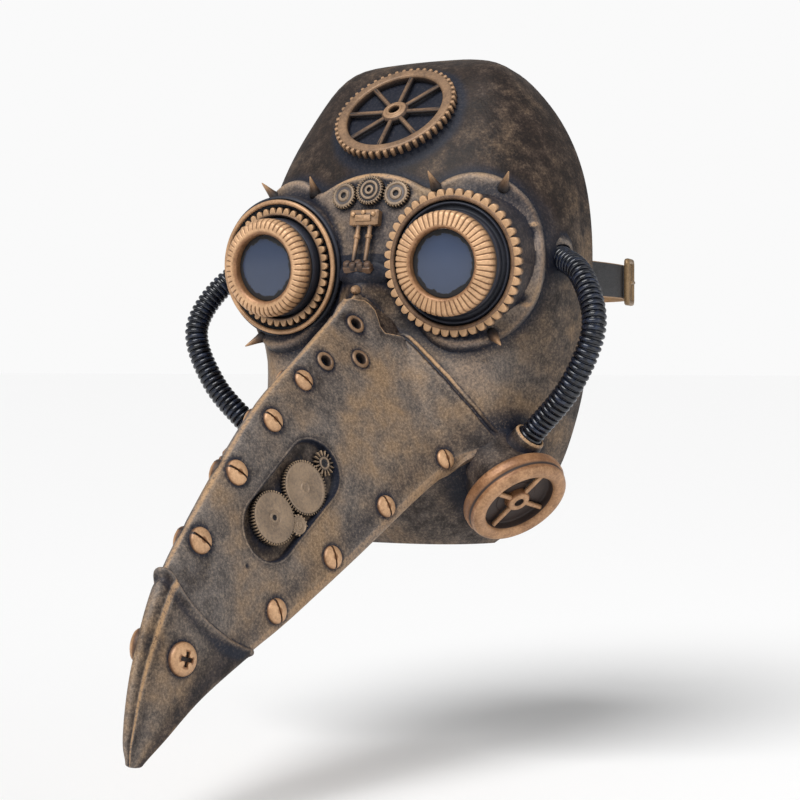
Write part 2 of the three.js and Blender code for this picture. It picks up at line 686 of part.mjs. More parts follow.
function makeGoggleRim() {
  const { radius, thick, z, turns, round } = rimRight;
  const profile = Array.from({ length: round }, (_, k) => {
    const angle = (2 * Math.PI * k) / round;
    return [radius + thick * Math.cos(angle), z + thick * Math.sin(angle)];
  });
  addPiece('goggle_rim_right', turned(profile, turns), copper, goggleFrame(-1));
}

// Spoked wheel on the forehead
function makeForeheadGear() {
  const { tip, root, rimBore, hub, hubBore, spokes, spokeWidth, teeth, thick, curveSteps } = foreheadGear;
  const shape = gearShape(tip, root, teeth);
  for (let k = 0; k < spokes; k += 1) {
    const from = (2 * Math.PI * k) / spokes;
    const to = (2 * Math.PI * (k + 1)) / spokes;
    const outerTrim = spokeWidth / 2 / rimBore;
    const innerTrim = spokeWidth / 2 / hub;
    const window = new THREE.Path();
    window.absarc(0, 0, rimBore, from + outerTrim, to - outerTrim, false);
    window.absarc(0, 0, hub, to - innerTrim, from + innerTrim, true);
    shape.holes.push(window);
  }
  shape.holes.push(roundHole(hubBore));
  const frame = foreheadFrame().multiply(shifted(0, 0, -thick));
  addPiece('forehead_gear', extruded(shape, thick, curveSteps), copper, frame);
}

// A point of the plate's face straight ahead of a place on the brow.
function browPoint(x, z) {
  const direction = new THREE.Vector3(x, -1, z).sub(core).normalize();
  for (let step = 0; step < 8; step += 1) {
    const point = headPoint(direction);
    direction.set(x, point.y, z).sub(core).normalize();
  }
  return { point: headPoint(direction), normal: headNormal(direction) };
}

function makeBrowGears() {
  const { depth, rise: above, turns } = browGearBore;
  for (const { name, x, z, radius, root, bore, teeth, rise } of browGearRows) {
    const { point, normal } = browPoint(x, z);
    const face = point.addScaledVector(normal, plate.rise + rise);
    const frame = frameAt(face, normal, new THREE.Vector3(1, 0, 0));
    const disc = extruded(gearShape(radius, root, teeth), 2 * rise);
    const hole = turned([[0, -depth], [bore, -depth], [bore, above], [0, above]], turns);
    const body = solid(disc, frame.clone().multiply(shifted(0, 0, -2 * rise))).subtract(solid(hole, frame));
    addPiece(`brow_gear_${name}`, body.subtract(plateFace), copper);
  }
}

// Bracket on the bridge with two rods down to a foot
function makeBridgeBracket() {
  const block = (width, height, z) => {
    const { point, normal } = browPoint(0, z);
    const frame = frameAt(point.addScaledVector(normal, plate.rise), normal, new THREE.Vector3(1, 0, 0));
    return solid(new THREE.BoxGeometry(width, height, 2 * bracket.rise), frame);
  };
  let body = block(bracket.width, bracket.height, bracket.z);
  body = body.add(block(bracket.footWidth, bracket.footHeight, bracket.footZ));
  const ends = [bracket.rodTop, bracket.rodBottom].map((z) => {
    const { point, normal } = browPoint(0, z);
    return point.addScaledVector(normal, plate.rise + bracket.rise / 2);
  });
  const length = ends[0].distanceTo(ends[1]);
  const { rodRadius, rodTurns } = bracket;
  const rod = turned([[0, 0], [rodRadius, 0], [rodRadius, length], [0, length]], rodTurns);
  const down = ends[1].clone().sub(ends[0]);
  for (const { sign } of sides) {
    const start = ends[0].clone().setX(sign * bracket.rodX);
    body = body.add(solid(rod, frameAt(start, down, new THREE.Vector3(1, 0, 0))));
  }
  addPiece('bridge_bracket', body.subtract(plateFace).subtract(beakForm(0, beak.rootStation, gap)), copper);
}

// Fastenings of the beak
function makeScrew(radius, slots) {
  const { height, taper, turns, slotWidth, slotDepth, crossRun, crossWidth } = screw;
  const profile = [[0, 0], [radius, 0], [taper * radius, height], [0, height]];
  let body = solid(turned(profile, turns));
  const run = slots > 1 ? crossRun * radius : 3 * radius;
  const width = slots > 1 ? crossWidth : slotWidth;
  for (let k = 0; k < slots; k += 1) {
    const slot = new THREE.BoxGeometry(run, width, 2 * slotDepth);
    const turn = new THREE.Matrix4().makeRotationZ((k * Math.PI) / 2);
    body = body.subtract(solid(slot, shifted(0, 0, height).multiply(turn)));
  }
  return geometryOf(body);
}

function makeFastenings({ name, sign }) {
  const lift = shifted(0, 0, gap);
  for (const row of screwRows) {
    const frame = beakSideFrame(row, sign).multiply(lift);
    addPiece(`screw_${row.name}_${name}`, makeScrew(row.radius, 1), copper, frame);
  }
  const capLift = shifted(0, 0, beakCap.rise + gap);
  const crossScrew = crossScrewRows[name];
  const capFrame = beakSideFrame(crossScrew, sign).multiply(capLift);
  addPiece(`cross_screw_${name}`, makeScrew(crossScrew.radius, 2), copper, capFrame);
  const { radius, bore, crown, height, lip, turns } = eyelet;
  const profile = [[bore, 0], [radius, 0], [crown, height], [bore, lip]];
  for (const row of eyeletRows) {
    const frame = beakSideFrame(row, sign).multiply(lift);
    addPiece(`eyelet_${row.name}_${name}`, turned(profile, turns), oldIron, frame);
  }
}

// Meshed gears in the pocket of the beak
function makeGearTrain({ name, sign }) {
  const discs = pocketGearRows.map(({ along, across, radius, root, bore, teeth, rise }) => {
    const disc = gearShape(radius, root, teeth);
    disc.holes.push(roundHole(bore));
    return solid(extruded(disc, rise, pocket.arcSteps), shifted(along, sign * across, 0));
  });
  const body = discs.reduce((joined, disc) => joined.add(disc));
  const frame = beakSideFrame(pocket, sign).multiply(shifted(0, 0, gap - pocket.depth));
  addPiece(`gear_train_${name}`, geometryOf(body), copper, frame);
}

// Ribbed hose with the collar that holds its lower end
function makeHose({ name, sign }) {
  const curve = hoseCurves[name];
  const steps = 2 * hose.ribs;
  const { normals, binormals } = curve.computeFrenetFrames(steps);
  const loops = Array.from({ length: steps + 1 }, (_, k) => {
    const middle = curve.getPointAt(k / steps);
    const radius = hose.radius - (k % 2 ? 0 : hose.ribDepth);
    return Array.from({ length: hose.round }, (_, i) => {
      const angle = (2 * Math.PI * i) / hose.round;
      return middle.clone()
        .addScaledVector(normals[k], radius * Math.cos(angle))
        .addScaledVector(binormals[k], radius * Math.sin(angle));
    });
  });
  addPiece(`hose_${name}`, loft(loops), rubber);
  const { radius, lip, lipDepth, shoulder, reach, overlap, turns } = hoseCollar;
  const bore = hose.radius + gap;
  const profile = [[0, gap], [bore, gap], [bore, -overlap], [lip, -overlap], [lip, lipDepth - overlap],
    [radius, shoulder - overlap], [radius, reach], [0, reach]];
  const frame = frameAt(curve.getPoint(1), curve.getTangent(1), new THREE.Vector3(0, 0, 1));
  const collar = solid(turned(profile, turns), frame).subtract(latexFace).subtract(filterDrum(sign, gap));
  addPiece(`hose_collar_${name}`, collar, oldIron);
}

// Cheek filter: drum on the jaw with a spoked wheel in a thick ring
function filterFrame(sign) {
  const origin = new THREE.Vector3(sign * filter.x, filter.y, filter.z);
  const outward = new THREE.Vector3(sign * filter.outwardX, filter.outwardY, filter.outwardZ);
  return frameAt(origin, outward, new THREE.Vector3(0, 1, 0));
}

function filterDrum(sign, grow) {
  const { drumRadius: radius, drumFoot, drumEdge, drumTopRadius, drumTop, turns } = filter;
  const profile = [[0, drumFoot], [radius + grow, drumFoot], [radius + grow, drumEdge],
    [drumTopRadius + grow, drumTop + grow], [0, drumTop + grow]];
  return solid(turned(profile, turns), filterFrame(sign));
}

function makeFilter({ name, sign }) {
  const frame = filterFrame(sign);
  addPiece(`filter_housing_${name}`, filterDrum(sign, 0).subtract(latexFace), oldIron);
  let body = solid(turned(wheelProfile, filter.turns));
  const { spokes, spokeWidth, spokeRise, run, floor, turn } = wheel;
  for (let k = 0; k < spokes; k += 1) {
    const spoke = new THREE.BoxGeometry(run, spokeWidth, spokeRise);
    const angle = THREE.MathUtils.degToRad(turn) + (2 * Math.PI * k) / spokes;
    spoke.translate(run / 2, 0, floor + spokeRise / 2).rotateZ(angle);
    body = body.add(solid(spoke));
  }
  const { hubRadius, hubRise, hubTurns, hubBore, boreDepth, boreTurns } = wheel;
  const top = floor + hubRise;
  const bottom = top - boreDepth;
  body = body.add(solid(turned([[0, floor], [hubRadius, floor], [hubRadius, top], [0, top]], hubTurns)));
  body = body.subtract(solid(turned([[0, bottom], [hubBore, bottom], [hubBore, 0], [0, 0]], boreTurns)));
  addPiece(`filter_wheel_${name}`, geometryOf(body), copper, frame);
}

// Strap: one band round the back of the head, its ends inside the edges of the hood
function strapPoint(share) {
  const turn = Math.PI * (share - 0.5);
  const power = 2 / strap.cornerPower;
  const x = strap.halfWidth * Math.sign(turn) * Math.abs(Math.sin(turn)) ** power;
  const y = strap.startY + (strap.backY - strap.startY) * Math.cos(turn) ** power;
  return new THREE.Vector3(x, y, strap.z);
}

function makeStrap() {
  const up = new THREE.Vector3(0, 0, 1);
  const loops = Array.from({ length: strap.steps + 1 }, (_, k) => {
    const share = k / strap.steps;
    const here = strapPoint(share);
    const ahead = strapPoint(Math.min(share + tiny, 1)).sub(strapPoint(Math.max(share - tiny, 0)));
    const out = ahead.cross(up).normalize();
    return [[1, 1], [-1, 1], [-1, -1], [1, -1]].map(([side, edge]) => here.clone()
      .addScaledVector(out, (side * strap.thick) / 2)
      .addScaledVector(up, (edge * strap.width) / 2));
  });
  addPiece('strap', loft(loops), leather);
}

function makeBuckle() {
  const { y, height, length, bar, thick, middleBar } = buckle;
  let share = 1;
  while (strapPoint(share).y < y) share -= tiny;
  const here = strapPoint(share);
  const along = strapPoint(share - tiny).sub(here);
  const out = along.clone().cross(new THREE.Vector3(0, 0, 1)).normalize();
  const frame = frameAt(here.addScaledVector(out, strap.thick / 2 + gap + thick / 2), out, along);
  const window = (length - 2 * bar - middleBar) / 2;
  let body = solid(new THREE.BoxGeometry(length, height, thick));
  for (const side of [-1, 1]) {
    const place = shifted((side * (middleBar + window)) / 2, 0, 0);
    body = body.subtract(solid(new THREE.BoxGeometry(window, height - 2 * bar, 2 * thick), place));
  }
  addPiece('strap_buckle', geometryOf(body), brass, frame);
}

makeHood();
makeBeak();
makeBeakTip();
makeGogglePlate();
sides.forEach(makeGoggle);
makeGoggleRim();
makeForeheadGear();
makeBrowGears();
makeBridgeBracket();
sides.forEach(makeFastenings);
sides.forEach(makeGearTrain);
sides.forEach(makeHose);
sides.forEach(makeFilter);
makeStrap();
makeBuckle();

// The origin is the top of the head, where the crown of the hood rests.
mask.position.set(0, -head.crownY, hood.wall - head.crownZ);
const part = new THREE.Group();
part.add(mask);

export default part;
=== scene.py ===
import math
import bmesh
import bpy
import numpy as np
from mathutils import Matrix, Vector
from mathutils.bvhtree import BVHTree


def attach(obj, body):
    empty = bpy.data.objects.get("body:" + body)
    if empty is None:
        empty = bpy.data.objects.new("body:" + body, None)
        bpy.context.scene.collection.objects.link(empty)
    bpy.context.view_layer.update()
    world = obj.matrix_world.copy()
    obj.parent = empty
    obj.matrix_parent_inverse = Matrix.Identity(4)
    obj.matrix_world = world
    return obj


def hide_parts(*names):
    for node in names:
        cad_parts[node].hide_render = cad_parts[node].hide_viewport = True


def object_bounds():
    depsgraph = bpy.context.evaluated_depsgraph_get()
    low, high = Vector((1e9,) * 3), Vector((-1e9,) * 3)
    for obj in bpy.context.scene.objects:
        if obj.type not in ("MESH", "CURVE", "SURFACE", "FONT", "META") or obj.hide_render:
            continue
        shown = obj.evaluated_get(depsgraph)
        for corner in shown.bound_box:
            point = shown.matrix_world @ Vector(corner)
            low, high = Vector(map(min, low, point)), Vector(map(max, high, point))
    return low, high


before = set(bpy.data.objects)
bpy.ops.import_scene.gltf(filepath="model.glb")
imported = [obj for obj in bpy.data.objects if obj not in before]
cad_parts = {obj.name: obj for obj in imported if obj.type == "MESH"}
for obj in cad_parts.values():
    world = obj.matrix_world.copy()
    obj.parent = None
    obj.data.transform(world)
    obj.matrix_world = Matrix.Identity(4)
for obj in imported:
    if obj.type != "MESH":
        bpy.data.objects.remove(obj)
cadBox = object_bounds()
scene = bpy.context.scene
print("frame loaded,", len(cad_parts), "nodes")

# Lengths are millimetres from the middle of the goggles; toPart makes them the frame's metres
originShift = np.array([0.0, -40.0, -109.5])
sides = [("left", 1), ("right", -1)]


def toPart(points):
    return (np.asarray(points, float) + originShift) / 1000


def linked(name, data):
    thing = bpy.data.objects.new(name, data)
    scene.collection.objects.link(thing)
    return thing


# Nodes and shader sums
def feed(tree, node, sockets):  # a value for each socket, or a link where another socket is given
    for name, value in sockets.items():
        value = value.socket if isinstance(value, Wire) else value
        if isinstance(value, bpy.types.NodeSocket):
            tree.links.new(value, node.inputs[name])
        else:
            node.inputs[name].default_value = value


def putNode(tree, kind, settings, sockets):
    node = tree.nodes.new(kind)
    for name, value in settings.items():
        setattr(node, name, value)
    feed(tree, node, sockets)
    return node.outputs


class Wire:  # a socket that can stand in a sum
    def __init__(self, tree, socket):
        self.tree = tree
        self.socket = socket

    def put(self, kind, settings, sockets, out=0):
        return Wire(self.tree, putNode(self.tree, kind, settings, sockets)[out])

    def sum(self, operation, a, b):
        return self.put("ShaderNodeMath", {"operation": operation}, {0: a, 1: b})

    def __add__(self, other):
        return self.sum("ADD", self, other)

    __radd__ = __add__

    def __sub__(self, other):
        return self.sum("SUBTRACT", self, other)

    def __rsub__(self, other):
        return self.sum("SUBTRACT", other, self)

    def __mul__(self, other):
        return self.sum("MULTIPLY", self, other)

    def eased(self, low, high):
        return self.put("ShaderNodeMapRange", {"interpolation_type": "SMOOTHSTEP"},
                        {"Value": self, "From Min": low, "From Max": high})

    def blend(self, first, second):  # self is the share of the second; a tuple is a colour as seen on screen
        ends = [tone(*colour) if isinstance(colour, tuple) else colour for colour in (first, second)]
        return self.put("ShaderNodeMix", {"data_type": "RGBA"}, {0: self, 6: ends[0], 7: ends[1]}, 2)


def tone(*screen):  # linear colour from 0 to 255 on screen
    part = [c / 255 for c in screen]
    return tuple(c / 12.92 if c <= 0.04045 else ((c + 0.055) / 1.055) ** 2.4 for c in part) + (1.0,)


def newPaint(name):
    paint = bpy.data.materials.new(name)
    paint.use_nodes = True
    return paint, Wire(paint.node_tree, None).put("ShaderNodeTexCoord", {}, {}, "Object")


def cloudOf(place, scale, detail, rough):
    return place.put("ShaderNodeTexNoise", {},
                     {"Vector": place, "Scale": scale, "Detail": detail, "Roughness": rough})


def meshValue(place, word):  # the meshes keep rub, worn paint on edges and painted sheen on the hose ribs, and grime, dirt that also holds painted shade in recesses
    return place.put("ShaderNodeAttribute", {"attribute_name": word}, {}, "Fac")


def finishPaint(place, colour, rough, height=None, bump=0.0, reach=0.0, metal=0.0, shine=0.5):
    shader = place.tree.nodes["Principled BSDF"]
    sockets = {"Base Color": colour, "Roughness": rough, "Metallic": metal, "Specular IOR Level": shine}
    if height is not None:
        sockets["Normal"] = place.put("ShaderNodeBump", {},
                                      {"Strength": bump, "Distance": reach, "Height": height})
    feed(place.tree, shader, sockets)


def latexPaint(name, umber, tan, washAndShadeTone):
    paint, place = newPaint(name)
    rubAndSheen, grimeAndShade = meshValue(place, "rubAndSheen"), meshValue(place, "grimeAndShade")
    cloud = cloudOf(place, 30, 4, 0.6)
    blot = cloudOf(place, 120, 5, 0.7)
    speck = cloudOf(place, 800, 4, 0.8)
    dusting = (cloud * 0.8 + blot * 0.7 + speck * 0.3 + rubAndSheen * 0.95 - grimeAndShade * 0.35 - 0.28).eased(0.4, 1.2)
    dark = blot.eased(0.35, 0.65).blend(*umber)
    light = cloud.eased(0.36, 0.68).blend(*tan)
    colour = dusting.blend(dark, light)
    # dark wash in random patches, and painted shade where grime holds occlusion shade in recesses
    washAndShade = (grimeAndShade * 1.15 + blot * 0.8 - cloud * 0.4 - 0.38).eased(0.0, 0.8)
    colour = (washAndShade * 0.92).blend(colour, washAndShadeTone)
    colour = ((1 - speck.eased(0.36, 0.56)) * 0.38).blend(colour, (20, 18, 20))
    colour = (speck.eased(0.5, 0.66) * (dusting * 0.3 + 0.05)).blend(colour, (184, 160, 132))
    edge = (rubAndSheen - 0.42).eased(0.0, 0.45) * speck.eased(0.3, 0.55) * (1 - washAndShade * 0.6)
    colour = (edge * 0.85).blend(colour, (196, 156, 114))
    height = cloudOf(place, 620, 3, 0.6) * 0.4 + cloudOf(place, 85, 4, 0.55) * 1.1 + speck * 0.15
    finishPaint(place, colour, 0.44 - rubAndSheen * 0.08 + speck * 0.16, height, 0.35, 0.0016, shine=0.24)
    return paint


def metalPaint(name, low, middle, high, dirtAndShadeTone, metal, rough):
    paint, place = newPaint(name)
    rubAndSheen, grimeAndShade = meshValue(place, "rubAndSheen"), meshValue(place, "grimeAndShade")
    cloud = cloudOf(place, 90, 4, 0.6)
    speck = cloudOf(place, 780, 3, 0.7)
    colour = (cloud * 0.8 + speck * 0.5 - 0.3).eased(0.0, 0.75).blend(low, middle)
    colour = (rubAndSheen * 0.9 + cloud * 0.4 + speck * 0.4 - 0.55).eased(0.0, 0.8).blend(colour, high)
    # dirt, and painted shade where grime holds the occlusion shade of the ray pass
    dirtAndShade = (grimeAndShade * 1.05 + speck * 0.5 - 0.3).eased(0.0, 0.8)
    colour = (dirtAndShade * 0.92).blend(colour, dirtAndShadeTone)
    finishPaint(place, colour, rough + speck * 0.16 + dirtAndShade * 0.12, speck * 0.5 + cloud * 0.6, 0.28, 0.0008,
                metal - dirtAndShade * metal * 0.7)
    return paint


def lensPaint(name):  # glue shows through at the edge
    paint, place = newPaint(name)
    cloud, ragged = cloudOf(place, 420, 4, 0.6), cloudOf(place, 130, 2, 0.5)
    edge = (meshValue(place, "grimeAndShade") * 0.9 + cloud * 0.9 + ragged * 1.1 - 1.42).eased(0.0, 0.12)
    smoke = cloudOf(place, 30, 2, 0.5).blend((42, 52, 72), (60, 74, 102))
    finishPaint(place, edge.blend(smoke, (14, 14, 18)), 0.2 + edge * 0.5 + cloud * 0.05, shine=0.7)
    return paint


def rubberPaint(name):
    paint, place = newPaint(name)
    cloud = cloudOf(place, 240, 4, 0.65)
    colour = cloud.eased(0.3, 0.75).blend((9, 12, 19), (21, 27, 41))
    # painted sheen: a bluish highlight on the rib crests, where rub is set
    colour = (meshValue(place, "rubAndSheen") * cloud.eased(0.45, 0.75) * 0.4).blend(colour, (56, 70, 100))
    finishPaint(place, colour, 0.16 + cloud * 0.16, cloud, 0.2, 0.0005, shine=0.6)
    return paint


def leatherPaint(name):
    paint, place = newPaint(name)
    grain = place.put("ShaderNodeTexVoronoi", {"feature": "DISTANCE_TO_EDGE"},
                      {"Vector": place, "Scale": 900})
    cloud = cloudOf(place, 200, 4, 0.6)
    colour = cloud.eased(0.3, 0.75).blend((26, 26, 29), (48, 47, 50))
    colour = (meshValue(place, "rubAndSheen") + cloud * 0.4 - 0.3).eased(0.1, 0.7).blend(colour, (166, 128, 88))
    finishPaint(place, colour, 0.5 + cloud * 0.2, grain.eased(0.0, 0.25) + cloud * 0.5, 0.3, 0.0005)
    return paint


latexRows = [  # name, dark pair, light pair, tone for dark wash and painted shade
    ("latexPaint", ((34, 26, 23), (57, 44, 37)), ((120, 113, 109), (143, 118, 92)), (25, 32, 47)),
    ("plateLatex", ((44, 38, 38), (72, 60, 55)), ((142, 130, 124), (154, 130, 104)), (26, 32, 46))]
metalRows = [  # name, dark tone, body, rubbed edge, dirt and painted shade, metallic, roughness
    ("antiqueCopper", (108, 74, 50), (174, 125, 85), (236, 192, 148), (32, 29, 32), 0.3, 0.36),
    ("agedCopper", (82, 63, 51), (142, 109, 83), (214, 172, 130), (28, 29, 36), 0.3, 0.38),
    ("darkBronze", (68, 53, 45), (114, 89, 70), (184, 146, 110), (30, 28, 31), 0.3, 0.4),
    ("greyBronze", (66, 62, 64), (106, 98, 95), (184, 156, 124), (30, 30, 36), 0.3, 0.42),
    ("oldIron", (36, 39, 50), (60, 64, 78), (126, 118, 118), (20, 22, 30), 0.3, 0.42),
    ("buckleBrass", (96, 76, 54), (140, 112, 80), (184, 154, 116), (46, 40, 34), 0.5, 0.38)]
latex, plateLatex = [latexPaint(*row) for row in latexRows]
copper, agedCopper, bronze, greyBronze, oldIron, brass = [metalPaint(*row) for row in metalRows]
smokedLens, hoseRubber = lensPaint("smokedLens"), rubberPaint("hoseRubber")
strapLeather = leatherPaint("strapLeather")


# Shapes before they are meshes
class Bit:  # points, faces, and rub and grime values
    def __init__(self, points, faces, rubAndSheen=0.0, grimeAndShade=0.0):
        self.points = np.asarray(points, float).reshape(-1, 3)
        self.faces = faces
        self.rubAndSheen = np.zeros(len(self.points)) + rubAndSheen
        self.grimeAndShade = np.zeros(len(self.points)) + grimeAndShade

    def placed(self, matrix):
        return Bit(self.points @ matrix[:3, :3].T + matrix[:3, 3], self.faces, self.rubAndSheen, self.grimeAndShade)

    def __add__(self, other):
        start = len(self.points)
        faces = self.faces + [[i + start for i in face] for face in other.faces]
        return Bit(np.vstack([self.points, other.points]), faces, np.concatenate([self.rubAndSheen, other.rubAndSheen]),
                   np.concatenate([self.grimeAndShade, other.grimeAndShade]))


def loft(loops, ends, rubAndSheen=0.0, grimeAndShade=0.0):  # rub and grime are each one value, one for each loop or one for each point
    loops = np.asarray(loops, float)
    rows, count = loops.shape[:2]
    here = np.arange(count)
    ahead = np.roll(here, -1)
    faces = []
    for j in range(rows if ends == "ring" else rows - 1):
        a, b = j * count, (j + 1) % rows * count
        faces += np.stack([a + here, a + ahead, b + ahead, b + here], 1).tolist()
    points = loops.reshape(-1, 3)
    marks = []
    for word in (np.asarray(rubAndSheen, float), np.asarray(grimeAndShade, float)):
        word = word[:, None] if word.ndim == 1 else word
        marks.append((np.zeros((rows, count)) + word).ravel())
    if ends == "fan":
        for j in (0, rows - 1):
            centre = len(points)
            points = np.vstack([points, loops[j].mean(0)])
            marks = [np.append(word, word[j * count:(j + 1) * count].mean()) for word in marks]
            faces += [[centre, j * count + i, j * count + k] for i, k in zip(here.tolist(), ahead.tolist())]
    return Bit(points, faces, *marks)


def turned(profile, turns, ends, rubAndSheen=0.0, grimeAndShade=0.0):
    angle = np.arange(turns) * 2 * math.pi / turns
    loops = [np.stack([r * np.cos(angle), r * np.sin(angle), np.full(turns, z)], 1) for r, z in profile]
    return loft(loops, ends, rubAndSheen, grimeAndShade)


def atHeight(outline, height):
    return np.column_stack([outline, np.zeros(len(outline)) + height])


def rounded(profile, radius, steps, closed=True):
    corners = np.asarray(profile, float)
    count = len(corners)
    out = []
    for k, corner in enumerate(corners):
        if not closed and k in (0, count - 1):
            out.append(corner)
            continue
        a, b = corners[k - 1] - corner, corners[(k + 1) % count] - corner
        lengthA, lengthB = np.linalg.norm(a), np.linalg.norm(b)
        cut = min(radius, 0.45 * lengthA, 0.45 * lengthB)
        start, finish = corner + a / lengthA * cut, corner + b / lengthB * cut
        for t in np.linspace(0, 1, steps + 1):
            out.append((1 - t) ** 2 * start + 2 * t * (1 - t) * corner + t * t * finish)
    return np.array(out)


def circleOf(count):
    return np.linspace(0, 2 * math.pi, count, endpoint=False)


def frameAt(origin, outward, along):
    z = np.asarray(outward, float) / np.linalg.norm(outward)
    x = np.asarray(along, float) - z * np.dot(along, z)
    x = x / np.linalg.norm(x)
    matrix = np.eye(4)
    matrix[:3] = np.stack([x, np.cross(z, x), z, origin], 1)
    return matrix


def shifted(x, y, z, turn=0.0):
    matrix = np.eye(4)
    matrix[:2, :2] = [[math.cos(turn), -math.sin(turn)], [math.sin(turn), math.cos(turn)]]
    matrix[:3, 3] = x, y, z
    return matrix


def block(width, length, height, bevel, rubAndSheen=0.3):  # a box with soft edges, its middle at the origin
    x, y, z = width / 2, length / 2, height / 2
    outline = rounded([(-x, -y), (x, -y), (x, y), (-x, y)], bevel, 2)
    loops = []
    for inset, level in ((bevel, -z), (0, bevel - z), (0, z - bevel), (bevel, z)):
        shrink = np.array([1 - 2 * inset / width, 1 - 2 * inset / length])
        loops.append(atHeight(outline * shrink, level))
    return loft(loops, "fan", rubAndSheen)


def meshOf(name, bit):
    mesh = bpy.data.meshes.new(name)
    mesh.from_pydata(bit.points.tolist(), [], bit.faces)
    for word, value in (("rubAndSheen", bit.rubAndSheen), ("grimeAndShade", bit.grimeAndShade)):
        mesh.attributes.new(word, "FLOAT", "POINT").data.foreach_set("value", value.astype(np.float32))
    shell = bmesh.new()
    shell.from_mesh(mesh)
    bmesh.ops.recalc_face_normals(shell, faces=shell.faces)
    shell.to_mesh(mesh)
    shell.free()
    return mesh


def scratch(name, bit):
    return linked(name, meshOf(name, bit))


def settled(thing):  # the evaluated shape as a bit; the scratch object goes
    mesh = bpy.data.meshes.new_from_object(thing.evaluated_get(bpy.context.evaluated_depsgraph_get()))
    points = np.empty(len(mesh.vertices) * 3)
    mesh.vertices.foreach_get("co", points)
    marks = []
    for word in ("rubAndSheen", "grimeAndShade"):
        value = np.zeros(len(mesh.vertices), np.float32)
        if word in mesh.attributes:
            mesh.attributes[word].data.foreach_get("value", value)
        marks.append(value)
    bit = Bit(points, [list(face.vertices) for face in mesh.polygons], *marks)
    bpy.data.objects.remove(thing)
    bpy.data.meshes.remove(mesh)
    return bit


def carved(bit, cutters):
    body = scratch("body", bit)
    tools = [scratch("tool", cutter) for cutter in cutters]
    for tool in tools:
        cut = body.modifiers.new("cut", "BOOLEAN")
        cut.operation = "DIFFERENCE"
        cut.solver = "EXACT"
        cut.object = tool
    bit = settled(body)
    for tool in tools:
        bpy.data.objects.remove(tool)
    return bit


def addPiece(name, bit, finish, nodes, sharp=40):
    mesh = meshOf(name, Bit(toPart(bit.points), bit.faces, bit.rubAndSheen, bit.grimeAndShade))
    mesh.polygons.foreach_set("use_smooth", np.ones(len(mesh.polygons), bool))
    if sharp:
        mesh.set_sharp_from_angle(angle=math.radians(sharp))
    mesh.materials.append(finish)
    piece = linked(name, mesh)
    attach(piece, "root")
    if nodes:
        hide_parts(*nodes)
    return piece


# Node trees for what repeats
def newTree(name, **inputs):
    tree = bpy.data.node_groups.new(name, "GeometryNodeTree")
    for word, kind in {"Geometry": "Geometry", **inputs, "Finish": "Material"}.items():
        tree.interface.new_socket(word, in_out="INPUT", socket_type="NodeSocket" + kind)
    tree.interface.new_socket("Geometry", in_out="OUTPUT", socket_type="NodeSocketGeometry")
    return tree, tree.nodes.new("NodeGroupInput").outputs


def closeTree(tree, given, *shapes):  # the shapes as one mesh in its finish
    joined = tree.nodes.new("GeometryNodeJoinGeometry")
    for shape in shapes:
        tree.links.new(shape, joined.inputs[0])
    whole = putNode(tree, "GeometryNodeRealizeInstances", {}, {"Geometry": joined.outputs[0]})
    dressed = putNode(tree, "GeometryNodeSetMaterial", {},
                      {"Geometry": whole[0], "Material": given["Finish"]})
    tree.links.new(dressed[0], tree.nodes.new("NodeGroupOutput").inputs["Geometry"])
    return tree


def instances(tree, points, thing, rotation, **more):
    shape = putNode(tree, "GeometryNodeObjectInfo", {}, {"Object": thing})
    return putNode(tree, "GeometryNodeInstanceOnPoints", {}, {
        "Points": points, "Instance": shape["Geometry"], "Rotation": rotation, **more})[0]


def makeRingTree():  # teeth or spokes round a wheel, which is the object itself
    tree, given = newTree("teethRoundWheel", Tooth="Object", Count="Int", Radius="Float")
    circle = putNode(tree, "GeometryNodeMeshCircle", {},
                     {"Vertices": given["Count"], "Radius": given["Radius"]})
    index = putNode(tree, "GeometryNodeInputIndex", {}, {})
    share = putNode(tree, "ShaderNodeMath", {"operation": "DIVIDE"}, {0: index[0], 1: given["Count"]})
    angle = putNode(tree, "ShaderNodeMath", {"operation": "MULTIPLY"}, {0: share[0], 1: 2 * math.pi})
    turn = putNode(tree, "ShaderNodeCombineXYZ", {}, {"Z": angle[0]})
    return closeTree(tree, given, instances(tree, circle[0], given["Tooth"], turn[0]), given["Geometry"])


def makeScatterTree():  # one shape on every point, turned and sized by the point
    tree, given = newTree("shapeOnPoints", Shape="Object")
    turn = putNode(tree, "GeometryNodeInputNamedAttribute", {"data_type": "FLOAT_VECTOR"}, {"Name": "turn"})
    size = putNode(tree, "GeometryNodeInputNamedAttribute", {"data_type": "FLOAT"}, {"Name": "size"})
    spun = putNode(tree, "FunctionNodeEulerToRotation", {}, {"Euler": turn[0]})
    return closeTree(tree, given, instances(tree, given["Geometry"], given["Shape"], spun[0], Scale=size[0]))


def makeHoseTree():  # ribs along a curve on a plain core
    tree, given = newTree("ribsAlongHose", Rib="Object", Count="Int", Core="Float")
    spaced = putNode(tree, "GeometryNodeResampleCurve", {},
                     {"Curve": given["Geometry"], "Count": given["Count"]})
    tangent = putNode(tree, "GeometryNodeInputTangent", {}, {})
    aim = putNode(tree, "FunctionNodeAlignRotationToVector", {"axis": "Z"}, {"Vector": tangent[0]})
    circle = putNode(tree, "GeometryNodeCurvePrimitiveCircle", {},
                     {"Resolution": 20, "Radius": given["Core"]})
    core = putNode(tree, "GeometryNodeCurveToMesh", {}, {
        "Curve": given["Geometry"], "Profile Curve": circle[0], "Fill Caps": True})
    return closeTree(tree, given, instances(tree, spaced[0], given["Rib"], aim[0]), core[0])


ringTree, scatterTree, hoseTree = makeRingTree(), makeScatterTree(), makeHoseTree()


